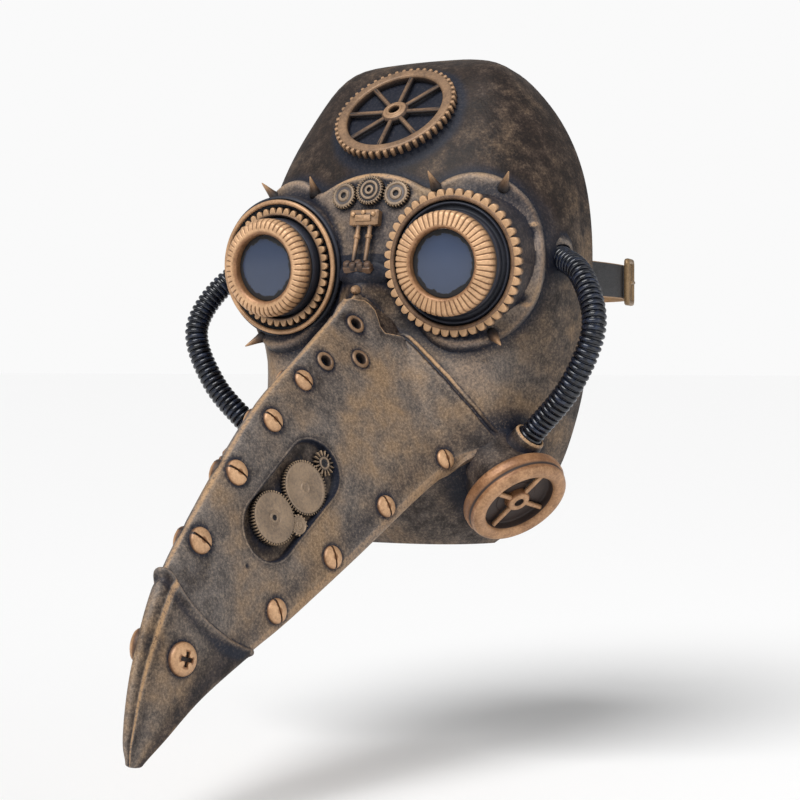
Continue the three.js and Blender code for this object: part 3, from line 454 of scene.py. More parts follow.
def grown(thing, tree, **values):  # a bit among the values is a scratch object while the tree runs
    tools = {word: scratch(word, value) for word, value in values.items() if isinstance(value, Bit)}
    values.update(tools)
    step = thing.modifiers.new(tree.name, "NODES")
    step.node_group = tree
    for item in tree.interface.items_tree:
        if item.in_out == "INPUT" and item.name in values:
            step[item.identifier] = values[item.name]
    bit = settled(thing)
    for tool in tools.values():
        bpy.data.objects.remove(tool)
    return bit


def toothed(body, tooth, count, radius, finish):
    return grown(scratch("wheel", body), ringTree, Tooth=tooth, Count=count, Radius=radius, Finish=finish)


def scattered(bit, places, sizes, finish):
    spots = bpy.data.meshes.new("spots")
    spots.from_pydata([tuple(place[:3, 3]) for place in places], [], [])
    turns = np.array([Matrix(place.tolist()).to_euler() for place in places], np.float32)
    spots.attributes.new("turn", "FLOAT_VECTOR", "POINT").data.foreach_set("vector", turns.ravel())
    spots.attributes.new("size", "FLOAT", "POINT").data.foreach_set("value", np.asarray(sizes, np.float32))
    return grown(linked("spots", spots), scatterTree, Shape=bit, Finish=finish)


# Sums that the shapes share
def unit(vectors):
    return vectors / np.maximum(np.linalg.norm(vectors, axis=-1, keepdims=True), 1e-12)


def bell(distance, spread):
    return np.exp(-(distance / spread) ** 2)


def strongestBand(*rows):  # the strongest of some soft bands, each of strength, distance and spread
    return np.maximum.reduce([strength * bell(distance, spread) for strength, distance, spread in rows])


def ease(value, low, high):
    t = np.clip((value - low) / (high - low), 0, 1)
    return t * t * (3 - 2 * t)


def lastInside(near, far, steps, isInside):  # halving search
    for step in range(steps):
        middle = (near + far) / 2
        inside = isInside(middle)
        near, far = np.where(inside, middle, near), np.where(inside, far, middle)
    return near


def runAlong(line):  # length from the first point on
    steps = np.linalg.norm(np.diff(line, axis=0), axis=-1)
    return np.concatenate([np.zeros((1, *steps.shape[1:])), np.cumsum(steps, 0)])


def nearest(points, curve, batch=4000):  # distance of every point from a cloud of points
    out = np.empty(len(points))
    for k in range(0, len(points), batch):
        gap = points[k:k + batch, None, :] - curve[None, :, :]
        out[k:k + batch] = np.sqrt((gap ** 2).sum(-1).min(1))
    return out


def localTo(matrix, points):
    return (points - matrix[:3, 3]) @ matrix[:3, :3]


def gridNormals(grid):  # outward normals of loops of points
    along = np.gradient(grid, axis=0)
    around = np.roll(grid, -1, 1) - np.roll(grid, 1, 1)
    return unit(np.cross(along, around))


def smoothColumn(at, value):  # a curve through a column of values
    order = np.argsort(at)
    at, value = np.asarray(at, float)[order], np.asarray(value, float)[order]
    last = len(at) - 1
    k = np.arange(last + 1)
    low, high = np.maximum(k - 1, 0), np.minimum(k + 1, last)
    slope = (value[high] - value[low]) / (at[high] - at[low])

    def read(place):
        place = np.asarray(place, float)
        i = np.clip(np.searchsorted(at[1:], place), 0, last - 1)
        step = at[i + 1] - at[i]
        t = (place - at[i]) / step
        rest = 1 - t
        return (value[i] * (1 + 2 * t) * rest ** 2 + step * slope[i] * t * rest ** 2
                + value[i + 1] * t ** 2 * (3 - 2 * t) - step * slope[i + 1] * t ** 2 * rest)
    return read


# Head form
head = dict(crownY=40, crownZ=112, halfWidth=88, depth=90, planPower=3, crownSquare=2.5, squareRise=6,
            widthPower=2.2, depthPower=1.75, coreZ=-55, lowerEdgeZ=-137, farthest=400.0, browY=-40.0)
faceRows = np.array([  # height, half width, front
    (0, 88, -50), (-20, 88, -53), (-40, 87.5, -57), (-60, 86, -60), (-80, 82, -60), (-100, 76, -56),
    (-120, 66, -48), (-137, 54, -36), (-160, 38, -18)])
backRows = np.array([  # height, back edge
    (113, 38), (105, 32), (95, 29), (75, 29), (50, 28), (20, 25), (-20, 22), (-66, 17), (-97, 12), (-120, 4),
    (-140, -10)])
reliefRows = np.array([  # place, spread, height
    (0, -52, -15, 12, 12), (35, -56, -24, 22, -6), (78, -22, 0, 26, 6), (0, -36, 56, 24, 4),
    (0, 8, 101, 20, 3),
    (38, 2, 100, 22, 6), (72, -30, -52, 20, -4), (56, -44, -44, 12, 2), (40, -48, -112, 14, -3)])
core = np.array([0, head["crownY"], head["coreZ"]], float)
faceHalfWidth, faceFront = (smoothColumn(faceRows[:, 0], faceRows[:, k]) for k in (1, 2))
backEdge = smoothColumn(backRows[:, 0], backRows[:, 1])


def outsideHead(points):
    x, y, z = points[..., 0], points[..., 1], points[..., 2]
    height = np.clip(z / head["crownZ"], 0, 1 - 1e-9)
    upper = z > 0
    wide, deep = head["widthPower"], head["depthPower"]
    halfWidth = np.where(upper, head["halfWidth"] * (1 - height ** wide) ** (1 / wide), faceHalfWidth(z))
    depth = np.where(upper, head["depth"] * (1 - height ** deep) ** (1 / deep),
                     head["crownY"] - faceFront(z))
    power = head["planPower"] + head["crownSquare"] * height ** head["squareRise"]
    out = np.abs(x / halfWidth) ** power + np.abs((y - head["crownY"]) / depth) ** power > 1
    return out | (z >= head["crownZ"])


def relief(points):
    total = np.zeros(points.shape[:-1])
    for x, y, z, spread, height in reliefRows:
        away = (np.abs(points[..., 0]) - x) ** 2 + (points[..., 1] - y) ** 2 + (points[..., 2] - z) ** 2
        total += height * np.exp(-away / spread ** 2)
    return total


def headPoint(direction):  # where a ray from the core leaves the head
    near = np.zeros(direction.shape[:-1])
    reach = lastInside(near, near + head["farthest"], 34,
                       lambda away: ~outsideHead(core + direction * away[..., None]))
    point = core + direction * reach[..., None]
    return point + direction * relief(point)[..., None]


def headNormal(direction, step=2e-3):
    side = unit(np.cross([0, 0, 1], direction))
    rise = np.cross(direction, side)
    here = headPoint(direction)
    a, b = (headPoint(unit(direction + way * step)) - here for way in (side, rise))
    return unit(np.cross(a, b))


def depthInHead(points):
    spoke = points - core
    return np.linalg.norm(headPoint(unit(spoke)) - core, axis=-1) - np.linalg.norm(spoke, axis=-1)


def keptOut(bit, depth=1.6):  # nothing stands further into the head than the latex is thick
    push = np.maximum(0, depthInHead(bit.points) - depth)
    bit.points = bit.points + unit(bit.points - core) * push[:, None]
    return bit


def browPoint(x, z):  # point and normal of the latex straight ahead of a place on the face
    x, z = np.asarray(x, float), np.asarray(z, float)
    y = np.full(x.shape, head["browY"])
    for step in range(10):
        y = headPoint(unit(np.stack([x, y, z], -1) - core))[..., 1]
    direction = unit(np.stack([x, y, z], -1) - core)
    return headPoint(direction), headNormal(direction)


def browFrame(x, z, lift):
    point, normal = browPoint(x, z)
    return frameAt(point + normal * lift, normal, (1, 0, 0))


# Beak form: sections from the face to the point, numbered by station
beakRows = np.array([  # ridge y and z, lower edge y and z, half width
    (-32, 7, 10, -66, 66), (-70.6, -17, -33, -89, 53), (-105.5, -38, -70, -108, 43),
    (-153, -67, -117, -137.5, 31), (-196, -105, -159, -161, 22), (-228.5, -138, -185, -173.5, 16.5),
    (-246.5, -171.5, -213, -189, 9.5), (-253.5, -200, -236, -205, 5), (-253, -212, -246.5, -213.5, 2.5)])
beak = dict(ridgeWidth=4.5, ridgeDrop=3.5, cornerRound=5, ridgeShare=0.2, dropShare=0.08,
            cornerShare=0.2, sideBulge=0.02, bellySag=0.05, footSag=0.012, middleShare=0.62,
            mouthStation=1.9, end=5.28, rootSunk=0.2, lastRoot=2.6, ridgeSteps=7, sideSteps=64,
            cornerSteps=7, bellySteps=12, innerStations=24, innerStart=0.03, innerWall=2.9)
beakCap = dict(seamStation=4.86, seamSearch=(4.2, 5.6), rise=1.5, seamRadius=66, seamSag=7, under=1.4,
               lastStation=8, edgeShare=0.06, edgeStations=12, stations=110,
               point=((0.8, 0.5), (0.45, 0.9), (0.12, 1.05)))
beakColumns = [smoothColumn(np.arange(len(beakRows)), column) for column in beakRows.T]


def beakSection(station):
    ridgeY, ridgeZ, edgeY, edgeZ, halfWidth = [read(station) for read in beakColumns]
    depth = np.hypot(edgeY - ridgeY, edgeZ - ridgeZ)
    return dict(ridgeY=ridgeY, ridgeZ=ridgeZ, halfWidth=halfWidth, depth=depth,
                downY=(edgeY - ridgeY) / depth, downZ=(edgeZ - ridgeZ) / depth)


def sideSizes(section):
    halfWidth, depth = section["halfWidth"], section["depth"]
    shoulder = np.minimum(beak["ridgeWidth"], beak["ridgeShare"] * halfWidth)
    drop = np.minimum(beak["ridgeDrop"], beak["dropShare"] * depth)
    corner = np.minimum(beak["cornerRound"], beak["cornerShare"] * halfWidth)
    return shoulder, drop, corner


def sideAt(section, across):
    halfWidth, depth = section["halfWidth"], section["depth"]
    shoulder, drop, corner = sideSizes(section)
    x = shoulder + (halfWidth - shoulder) * across + beak["sideBulge"] * depth * np.sin(math.pi * across)
    return x, drop + (depth - corner - drop) * across


def sectionPoint(section, x, drop):
    y = section["ridgeY"] + section["downY"] * drop
    return np.stack(np.broadcast_arrays(x, y, section["ridgeZ"] + section["downZ"] * drop), -1)


# Shares round half a section: ridge from -1 to 0, side from 0 to 1, corner to 2, belly to 3
halfShares = np.concatenate([
    np.linspace(-1, 0, beak["ridgeSteps"], endpoint=False),
    np.linspace(0, 1, beak["sideSteps"], endpoint=False),
    np.linspace(1, 2, beak["cornerSteps"], endpoint=False), np.linspace(2, 3, beak["bellySteps"])])
shareRound = np.concatenate([halfShares, halfShares[-2:0:-1]])
signRound = np.concatenate([np.ones(len(halfShares)), -np.ones(len(halfShares) - 2)])


def beakPoint(station):
    section, share = beakSection(station), shareRound
    halfWidth, depth = section["halfWidth"], section["depth"]
    shoulder, drop, corner = sideSizes(section)
    sideX, sideY = sideAt(section, np.clip(share, 0, 1))
    (topX, topY), (endX, endY) = sideAt(section, 0.0), sideAt(section, 1.0)
    lean = (halfWidth - shoulder) / (depth - corner - drop)
    t = np.clip(share + 1, 0, 1)
    control = np.maximum(shoulder - lean * drop, 0.3 * shoulder)
    ridgeX, ridgeY = 2 * t * (1 - t) * control + t * t * topX, t * t * topY
    footX, footY = halfWidth - corner, depth + beak["footSag"] * depth
    t = np.clip(share - 1, 0, 1)
    cornerX = (1 - t) ** 2 * endX + 2 * t * (1 - t) * (endX + lean * corner * 0.8) + t * t * footX
    cornerY = (1 - t) ** 2 * endY + 2 * t * (1 - t) * depth + t * t * footY
    t = np.clip(share - 2, 0, 1)
    low = depth * (1 + beak["bellySag"])
    bellyX, bellyY = footX * (1 - t), low - (low - footY) * (1 - t) ** 2
    x = np.where(share < 0, ridgeX, np.where(share <= 1, sideX, np.where(share <= 2, cornerX, bellyX)))
    y = np.where(share < 0, ridgeY, np.where(share <= 1, sideY, np.where(share <= 2, cornerY, bellyY)))
    return sectionPoint(section, signRound * x, y)


def beakSideFrame(station, across, sign, step=1e-3):
    def side(s, a):
        section = beakSection(s)
        x, drop = sideAt(section, a)
        return sectionPoint(section, sign * x, drop)
    origin = side(station, across)
    along = side(station + step, across) - origin
    down = side(station, across + step) - origin
    return frameAt(origin, np.cross(along, down) * sign, along)


def shrunkBeak(stations, wall):  # sections drawn in towards their middle by about a wall
    section = beakSection(stations)
    middle = sectionPoint(section, 0.0, beak["middleShare"] * section["depth"])
    share = 1 - wall / np.minimum(section["halfWidth"], (1 - beak["middleShare"]) * section["depth"])
    return middle + (beakPoint(stations) - middle) * share[..., None]


def rootStations():  # where every line of the beak comes out of the head
    near = np.zeros(len(shareRound))
    return lastInside(near, near + beak["lastRoot"], 26,
                      lambda station: depthInHead(beakPoint(station)) > beak["rootSunk"])


# Fastenings and pockets of the beak, placed by station and share of the side
screwRows = [  # station, share, radius, turn of the slot
    (2.43, 0.04, 5.2, 102), (2.99, 0.05, 5.5, 98), (3.62, 0.03, 5.9, 105), (4.39, 0.05, 6.0, 100),
    (1.58, 0.97, 5.0, 66), (2.49, 0.94, 5.3, 72), (3.24, 0.93, 5.5, 62), (4.15, 0.92, 5.8, 70)]
crossRows = {"left": (5.68, 0.43, 7.6), "right": (5.7, 0.08, 7.6)}
eyeletRows = [(1.25, 0.05), (2.06, 0.06), (1.62, 0.2)]
fastening = dict(flatShare=0.3, lift=0.1, crossTurn=0.4)  # screws lie as the flat part of the side does
pocket = dict(station=3.3, across=0.455, halfRun=20, radius=15.3, depth=4, reach=14, rim=(45, 25, 8),
              cut=9.0)
pocketRows = [  # growth of the outline, lift, 1 at the floor or 0 at the skin, rub, grime and shade
    (-10, 0, 1, 0.1, -0.3), (-1.6, 0, 1, 0.1, -0.3), (-0.7, 0.5, 1, 0, 0.4), (-0.35, -0.9, 0, 0.1, 0.9),
    (-0.2, 0.05, 0, 0.1, 0.9), (0.25, 0.2, 0, 0.3, 0.3), (0.9, 0.15, 0, 0.4, 0), (1.5, -0.35, 0, 0, 0.7),
    (1.5, -2, 0, 0, 0.7), (1.2, -1.2, 1, 0, 0.7), (-10, -1.2, 1, 0, 0.7)]
pit = dict(along=42.2, across=3.0, radius=1.1, depth=1.2)  # small hole past the left pocket
farOff = 99.0


def screwFrame(station, across, sign, turn):
    flat = fastening["flatShare"]
    place = beakSideFrame(station, min(max(across, flat), 1 - flat), sign)
    place[:3, 3] = beakSideFrame(station, across, sign)[:3, 3]
    return place @ shifted(0, 0, fastening["lift"], math.radians(turn))


def crossFrame(station, across, sign):
    lift = beakCap["rise"] + fastening["lift"]
    return beakSideFrame(station, across, sign) @ shifted(0, 0, lift, fastening["crossTurn"])


screwFrames = [(screwFrame(s, a, sign, turn), radius)
               for name, sign in sides for s, a, radius, turn in screwRows]
crossFrames = [(crossFrame(*crossRows[name][:2], sign), crossRows[name][2]) for name, sign in sides]
eyeletFrames = [beakSideFrame(s, a, sign) for name, sign in sides for s, a in eyeletRows]
pocketFrames = {name: beakSideFrame(pocket["station"], pocket["across"], sign) for name, sign in sides}


def pocketDistance(matrix, points):  # below zero inside the pocket
    local = localTo(matrix, points)
    along = np.maximum(np.abs(local[..., 0]) - pocket["halfRun"], 0)
    away = np.hypot(along, local[..., 1]) - pocket["radius"]
    return np.where(np.abs(local[..., 2]) < pocket["reach"], away, farOff)


def stadium(grow, count=24):  # outline of the pocket in its own frame
    angle = np.linspace(-math.pi / 2, math.pi / 2, count)
    radius = pocket["radius"] + grow
    cap = np.stack([pocket["halfRun"] + radius * np.cos(angle), radius * np.sin(angle)], 1)
    return np.vstack([cap, -cap])


def pocketTray(matrix, skin):  # the pocket's rolled rim, wall and floor; skin is the beak's surface
    local = localTo(matrix, skin.reshape(-1, 3))
    local = local[(np.abs(local) < pocket["rim"]).all(1)]
    close = ((stadium(0.0)[:, None, :] - local[None, :, :2]) ** 2).sum(-1).argmin(1)
    top = local[close, 2]
    loops = [atHeight(stadium(grow), (1 - deep) * top - deep * pocket["depth"] + lift)
             for grow, lift, deep, rubAndSheen, grimeAndShade in pocketRows]
    return loft(loops, "fan", *np.array(pocketRows)[:, 3:].T).placed(matrix)


# Beak: a sheet with a raised border that ends on the cheek
borderRows = np.array([  # share round the section, how far ahead of the crease the sheet ends
    (-1, 9.2), (-0.3, 6), (0.03, 2.7), (0.08, 4.1), (0.156, 10.9), (0.2, 11.6), (0.234, 7.5), (0.28, 1.4),
    (0.33, -2.3), (0.41, -6.8), (0.5, -10.9), (0.62, -15.1), (0.8, -19),
    (1, -21), (1.3, -12), (1.6, 0), (3, 0)])
border = dict(apron=3.6, leastApron=1.6, sunk=2.0, bead=2.0, beadHeight=0.9, groove=0.45, lip=1.6,
              fade=(6, 16), shine=0.9, fillet=9, filletEdge=(2, 8), smoothing=60, backReach=1.4,
              backSteps=60, aheadSteps=300, firstStation=-0.3, rows=(8, 26, 196), cheek=(0.22, 0.36))


def beakRunLines():  # from the cheek to the beak's end: points, stations, run past crease and edge
    root = rootStations()
    edge = np.interp(shareRound, *borderRows.T)
    ahead = root + (beak["end"] - root) * np.linspace(0, 1, border["aheadSteps"])[:, None]
    reach = np.linspace(border["backReach"], 0, border["backSteps"], endpoint=False)[:, None]
    back = np.maximum(root - reach, border["firstStation"])
    line = np.concatenate([headPoint(unit(beakPoint(back) - core)), beakPoint(ahead)])
    station = np.concatenate([back, ahead])
    run = runAlong(line)
    run = run - run[len(back)]
    soft = (0.5 * bell(run, border["fillet"]) * ease(-edge, *border["filletEdge"]))[1:-1, :, None]
    for step in range(border["smoothing"]):
        line[1:-1] += soft * (0.5 * (line[2:] + line[:-2]) - line[1:-1])
    begin = np.minimum(edge - border["apron"], -border["leastApron"]) - border["sunk"]
    stops = [begin, edge - border["apron"], edge + border["fade"][0], run[-1]]
    wanted = []
    for low, high, count in zip(stops, stops[1:], border["rows"]):
        step = np.linspace(0, 1, count, endpoint=high is stops[-1])[:, None]
        wanted.append(low + (high - low) * step)
    wanted = np.concatenate(wanted)

    def resampled(values):
        return np.stack([np.interp(wanted[:, k], run[:, k], values[:, k]) for k in range(len(root))], 1)

    points = np.stack([resampled(line[..., axis]) for axis in range(3)], -1)
    return root, points, resampled(station), wanted, wanted - edge


def makeBeak():
    root, base, stations, run, past = beakRunLines()
    share = np.broadcast_to(shareRound, run.shape)
    onSide, onCheek = share < 1, ease(share, *border["cheek"])
    fromBead, fromGroove, fromShine = past + border["bead"], past + border["groove"], past - border["shine"]
    lift = border["lip"] * np.sqrt(np.clip(past, 0, 1)) * (1 - 0.8 * ease(past, *border["fade"]))
    lift += border["beadHeight"] * bell(fromBead, 1.1) * (past < 0) * onCheek
    lift -= 0.6 * bell(fromGroove, 0.5)
    lift -= ease(-past, 0.0, 0.6) * (1 - onCheek) * ease(run, 0.0, 2.0)  # the nose lies lower than the sheet
    lift -= 1.3 * ease(-past, 3.0, border["apron"]) * ease(-run, -1.0, 0.6)
    sideLength = beakSection(stations)["depth"]
    fromRidge = np.where(onSide, np.clip(share, 0, 1), 1) * sideLength
    fromEdge = np.where(onSide, 1 - share, 0) * sideLength
    clean = (np.abs(fromBead) < 1.1) & (share > 0.3) | (np.abs(fromShine) < 0.7)
    # the dark line in the groove along the border is painted shade
    grimeAndShade = np.where(clean, 0.0, strongestBand((1, fromGroove, 0.8), (0.3, past - 3.5, 2.5)))
    grimeAndShade = np.maximum(grimeAndShade, strongestBand((0.25 * (share > 0), fromRidge - 9, 8), (0.4, fromEdge - 7, 8)))
    rubAndSheen = strongestBand((0.9 * onCheek * ease(1 - share, 0.1, 0.4), fromBead, 1.3),
                (1.1 * (past > 0.1) * (1 - 0.75 * onCheek), fromShine, 0.8),
                (0.75, share + 1, 0.4), (0.6, fromEdge, 1.8))
    faded = 0.32 + 0.1 * bell(share - 0.48, 0.3) * bell(stations - 1.5, 1.0) + 0.1 * ease(stations, 2.2, 3.4)
    rubAndSheen = np.maximum(rubAndSheen, faded * (past > 1) * onSide)
    for place in pocketFrames.values():
        grimeAndShade = np.maximum(grimeAndShade, 0.5 * ease(-pocketDistance(place, base), -5, 0))
    local = localTo(pocketFrames["left"], base)
    away = np.hypot(local[..., 0] - pit["along"], local[..., 1] - pit["across"])
    away = away + farOff * (np.abs(local[..., 2]) > pocket["reach"])
    lift -= pit["depth"] * bell(away, pit["radius"])
    grimeAndShade = np.maximum(grimeAndShade, bell(away, pit["radius"]))
    for place, radius in screwFrames:
        away = np.linalg.norm(base - place[:3, 3], axis=-1) - radius
        lift -= 0.25 * bell(away, 1.6)
        grimeAndShade = np.maximum(grimeAndShade, 0.6 * bell(away - 0.4, 2.2))
    for place in eyeletFrames:
        away = np.linalg.norm(base - place[:3, 3], axis=-1)
        lift -= 6 * (1 - ease(away, 2.0, 4.0))
        grimeAndShade = np.maximum(grimeAndShade, 0.85 * bell(away - 4, 2.6))
    outer = base + gridNormals(base) * lift[..., None]
    start = root + beak["innerStart"]
    steps = np.linspace(1, 0, beak["innerStations"])[:, None]
    inner = shrunkBeak(start + (beak["end"] - start) * steps, beak["innerWall"])
    rubAndSheen = np.concatenate([rubAndSheen, np.zeros(inner.shape[:2])])
    grimeAndShade = np.concatenate([grimeAndShade, np.full(inner.shape[:2], 0.75)])
    hole = loft([atHeight(stadium(0.5), z) for z in (-pocket["cut"], pocket["cut"])], "fan")
    skin = carved(loft(np.concatenate([outer, inner]), "ring", rubAndSheen, grimeAndShade),
                  [hole.placed(place) for place in pocketFrames.values()])
    for place in pocketFrames.values():
        skin = skin + pocketTray(place, outer)
    addPiece("beakSkin", skin, latex, ["beak"], 60)
    return outer[np.abs(past) < 0.5]


def makeBeakTip():  # the cap's back edge is an arc seen from the side
    seam = beakSection(float(beakCap["seamStation"]))
    down = np.array([seam["downY"], seam["downZ"]])
    middle = np.array([seam["ridgeY"], seam["ridgeZ"]]) + down * seam["depth"] / 2
    middle = middle + np.array([down[1], -down[0]]) * (beakCap["seamSag"] - beakCap["seamRadius"])

    def behindSeam(station):
        spot = beakPoint(station)
        return np.hypot(spot[:, 1] - middle[0], spot[:, 2] - middle[1]) < beakCap["seamRadius"]

    near, far = (np.full(len(shareRound), station) for station in beakCap["seamSearch"])
    start = lastInside(near, far, 24, behindSeam)
    t = np.concatenate([np.linspace(0, beakCap["edgeShare"], beakCap["edgeStations"], endpoint=False),
                        np.linspace(beakCap["edgeShare"], 1, beakCap["stations"])])[:, None]
    stations = start + (beakCap["lastStation"] - start) * t
    base = beakPoint(stations)
    normal, run = gridNormals(base), runAlong(base)
    share = np.broadcast_to(shareRound, run.shape)
    lift = beakCap["rise"] * np.sqrt(np.clip(run / 1.3, 0, 1)) + 0.7 * bell(run - 2.2, 1.8) - 0.2
    lift = lift * (1 - 0.6 * ease(stations, 6.6, 8))
    fold = bell(base[..., 0], 3.5) * (share < 0.3)
    lift += 1.5 * fold * bell(run - 2.0, 1.8) - 0.8 * fold * bell(run - 5.5, 1.8)
    rubAndSheen = strongestBand((0.55, run - 1.6, 1.6), (0.5, share + 1, 0.45), (0.36, share - 0.45, 0.4),
                (0.85, share - 0.02, 0.05))
    grimeAndShade = 0.5 * bell(run - 6, 3) + 0.45 * bell(share - 0.9, 0.25)
    for place, radius in crossFrames:
        away = np.linalg.norm(base - place[:3, 3], axis=-1) - radius
        grimeAndShade = np.maximum(grimeAndShade, 0.5 * bell(away - 0.5, 1.6))
    outer = base + normal * lift[..., None]
    centre = outer[-1].mean(0)
    ahead = unit(centre - outer[-6].mean(0))
    close = [centre + (outer[-1] - centre) * scale + ahead * out for scale, out in beakCap["point"]]
    loops = np.concatenate([[base[0] - normal[0] * beakCap["under"]], outer, close])
    rubAndSheen, grimeAndShade = (np.concatenate([marks[:1], marks, np.repeat(marks[-1:], len(close), 0)])
                  for marks in (rubAndSheen, grimeAndShade))
    addPiece("beakTipCap", loft(loops, "fan", rubAndSheen, grimeAndShade), latex, ["beak_tip"], None)


# Places of the goggles, the forehead gear, the hoses and the filters, which the hood needs
goggle = dict(x=50, y=-69, z=0, splay=4, droop=4, holeRadius=19, holeReach=(-70, 5))
foreheadGear = dict(y=-24.2, z=80.4, tilt=43, tip=32.4, root=30.8, rimBore=25.6, hub=7.2, hubBore=2.8,
                    spokes=8, spokeWidth=2.6, teeth=50, foot=0.62, top=0.42, thick=4.5)
hoseRoute = np.array([(85, -10, 5), (101, -21.5, -4), (113, -33, -29), (102, -34, -57),
                      (79, -31, -82)], float)
hose = dict(radius=6.1, core=4.8, ribs=42, bead=1.25, ribShare=0.47)
filterPlace = dict(at=(77.5, -38, -116), outward=(0.65, -0.32, -0.69))


def goggleFrame(sign):
    splay, droop = math.radians(goggle["splay"]), math.radians(goggle["droop"])
    outward = (sign * math.sin(splay), -math.cos(splay), -math.sin(droop))
    return frameAt((sign * goggle["x"], goggle["y"], goggle["z"]), outward, (sign, 0, 0))


def foreheadFrame():
    tilt = math.radians(foreheadGear["tilt"])
    outward = (0, -math.cos(tilt), math.sin(tilt))
    return frameAt((0, foreheadGear["y"], foreheadGear["z"]), outward, (1, 0, 0))


def filterFrame(sign):
    mirror = np.array([sign, 1, 1])
    return frameAt(filterPlace["at"] * mirror, filterPlace["outward"] * mirror, (0, 1, 0))


def hoseLine(sign, count=160):  # centripetal curve through the route, evenly spaced
    def mixed(low, high, first, second):
        return (high - t) / (high - low) * first + (t - low) / (high - low) * second

    route = hoseRoute * [sign, 1, 1]
    route = np.vstack([2 * route[0] - route[1], route, 2 * route[-1] - route[-2]])
    line = []
    for k in range(len(route) - 3):
        p = route[k:k + 4]
        knots = np.concatenate([[0], np.cumsum(np.linalg.norm(np.diff(p, axis=0), axis=1) ** 0.5)])
        t = np.linspace(knots[1], knots[2], 60, endpoint=k == len(route) - 4)[:, None]
        a = [mixed(knots[i], knots[i + 1], p[i], p[i + 1]) for i in range(3)]
        b = [mixed(knots[i], knots[i + 2], a[i], a[i + 1]) for i in range(2)]
        line.append(mixed(knots[1], knots[2], *b))
    line = np.vstack(line)
    run = runAlong(line)
    even = np.linspace(0, run[-1], count)
    return np.stack([np.interp(even, run, line[:, k]) for k in range(3)], 1), run[-1]


# Plate round the goggles and over the brow
plate = dict(rise=4.2, eyeX=50, eyeZ=2, eyeHalfWidth=33, eyeHalfHeight=44, eyeDepth=36, browHalfWidth=27,
             browTop=47, browArch=8, browPast=6, noseZ=-8, noseHalfWidth=12, soft=5.0, edge=3.6, foot=0.6,
             spread=(87, -45, 55), pitch=1.0, past=1.2, hole=21, lip=2.6, gutter=6.5, tabX=68, tabZ=15,
             drumTop=-18.5, drumBore=19.5, drumRadius={"left": 33, "right": 35})


def plateInside(x, z):  # millimetres inside the edge of the plate, below zero outside
    eye = (1 - np.hypot((np.abs(x) - plate["eyeX"]) / plate["eyeHalfWidth"],
                        (z - plate["eyeZ"]) / plate["eyeHalfHeight"])) * plate["eyeDepth"]
    wide, nose = plate["browHalfWidth"], plate["noseHalfWidth"]
    top = plate["browTop"] - plate["browArch"] + plate["browArch"] * (1 - (x / wide) ** 2)
    slant = np.clip((np.abs(x) - nose) / (wide - nose), 0, 1)
    bottom = plate["noseZ"] * (1 - np.sqrt(slant))
    brow = np.minimum(np.minimum(top - z, z - bottom), wide + plate["browPast"] - np.abs(x))
    mix = np.clip(0.5 + 0.5 * (eye - brow) / plate["soft"], 0, 1)
    return brow * (1 - mix) + eye * mix + plate["soft"] * mix * (1 - mix)


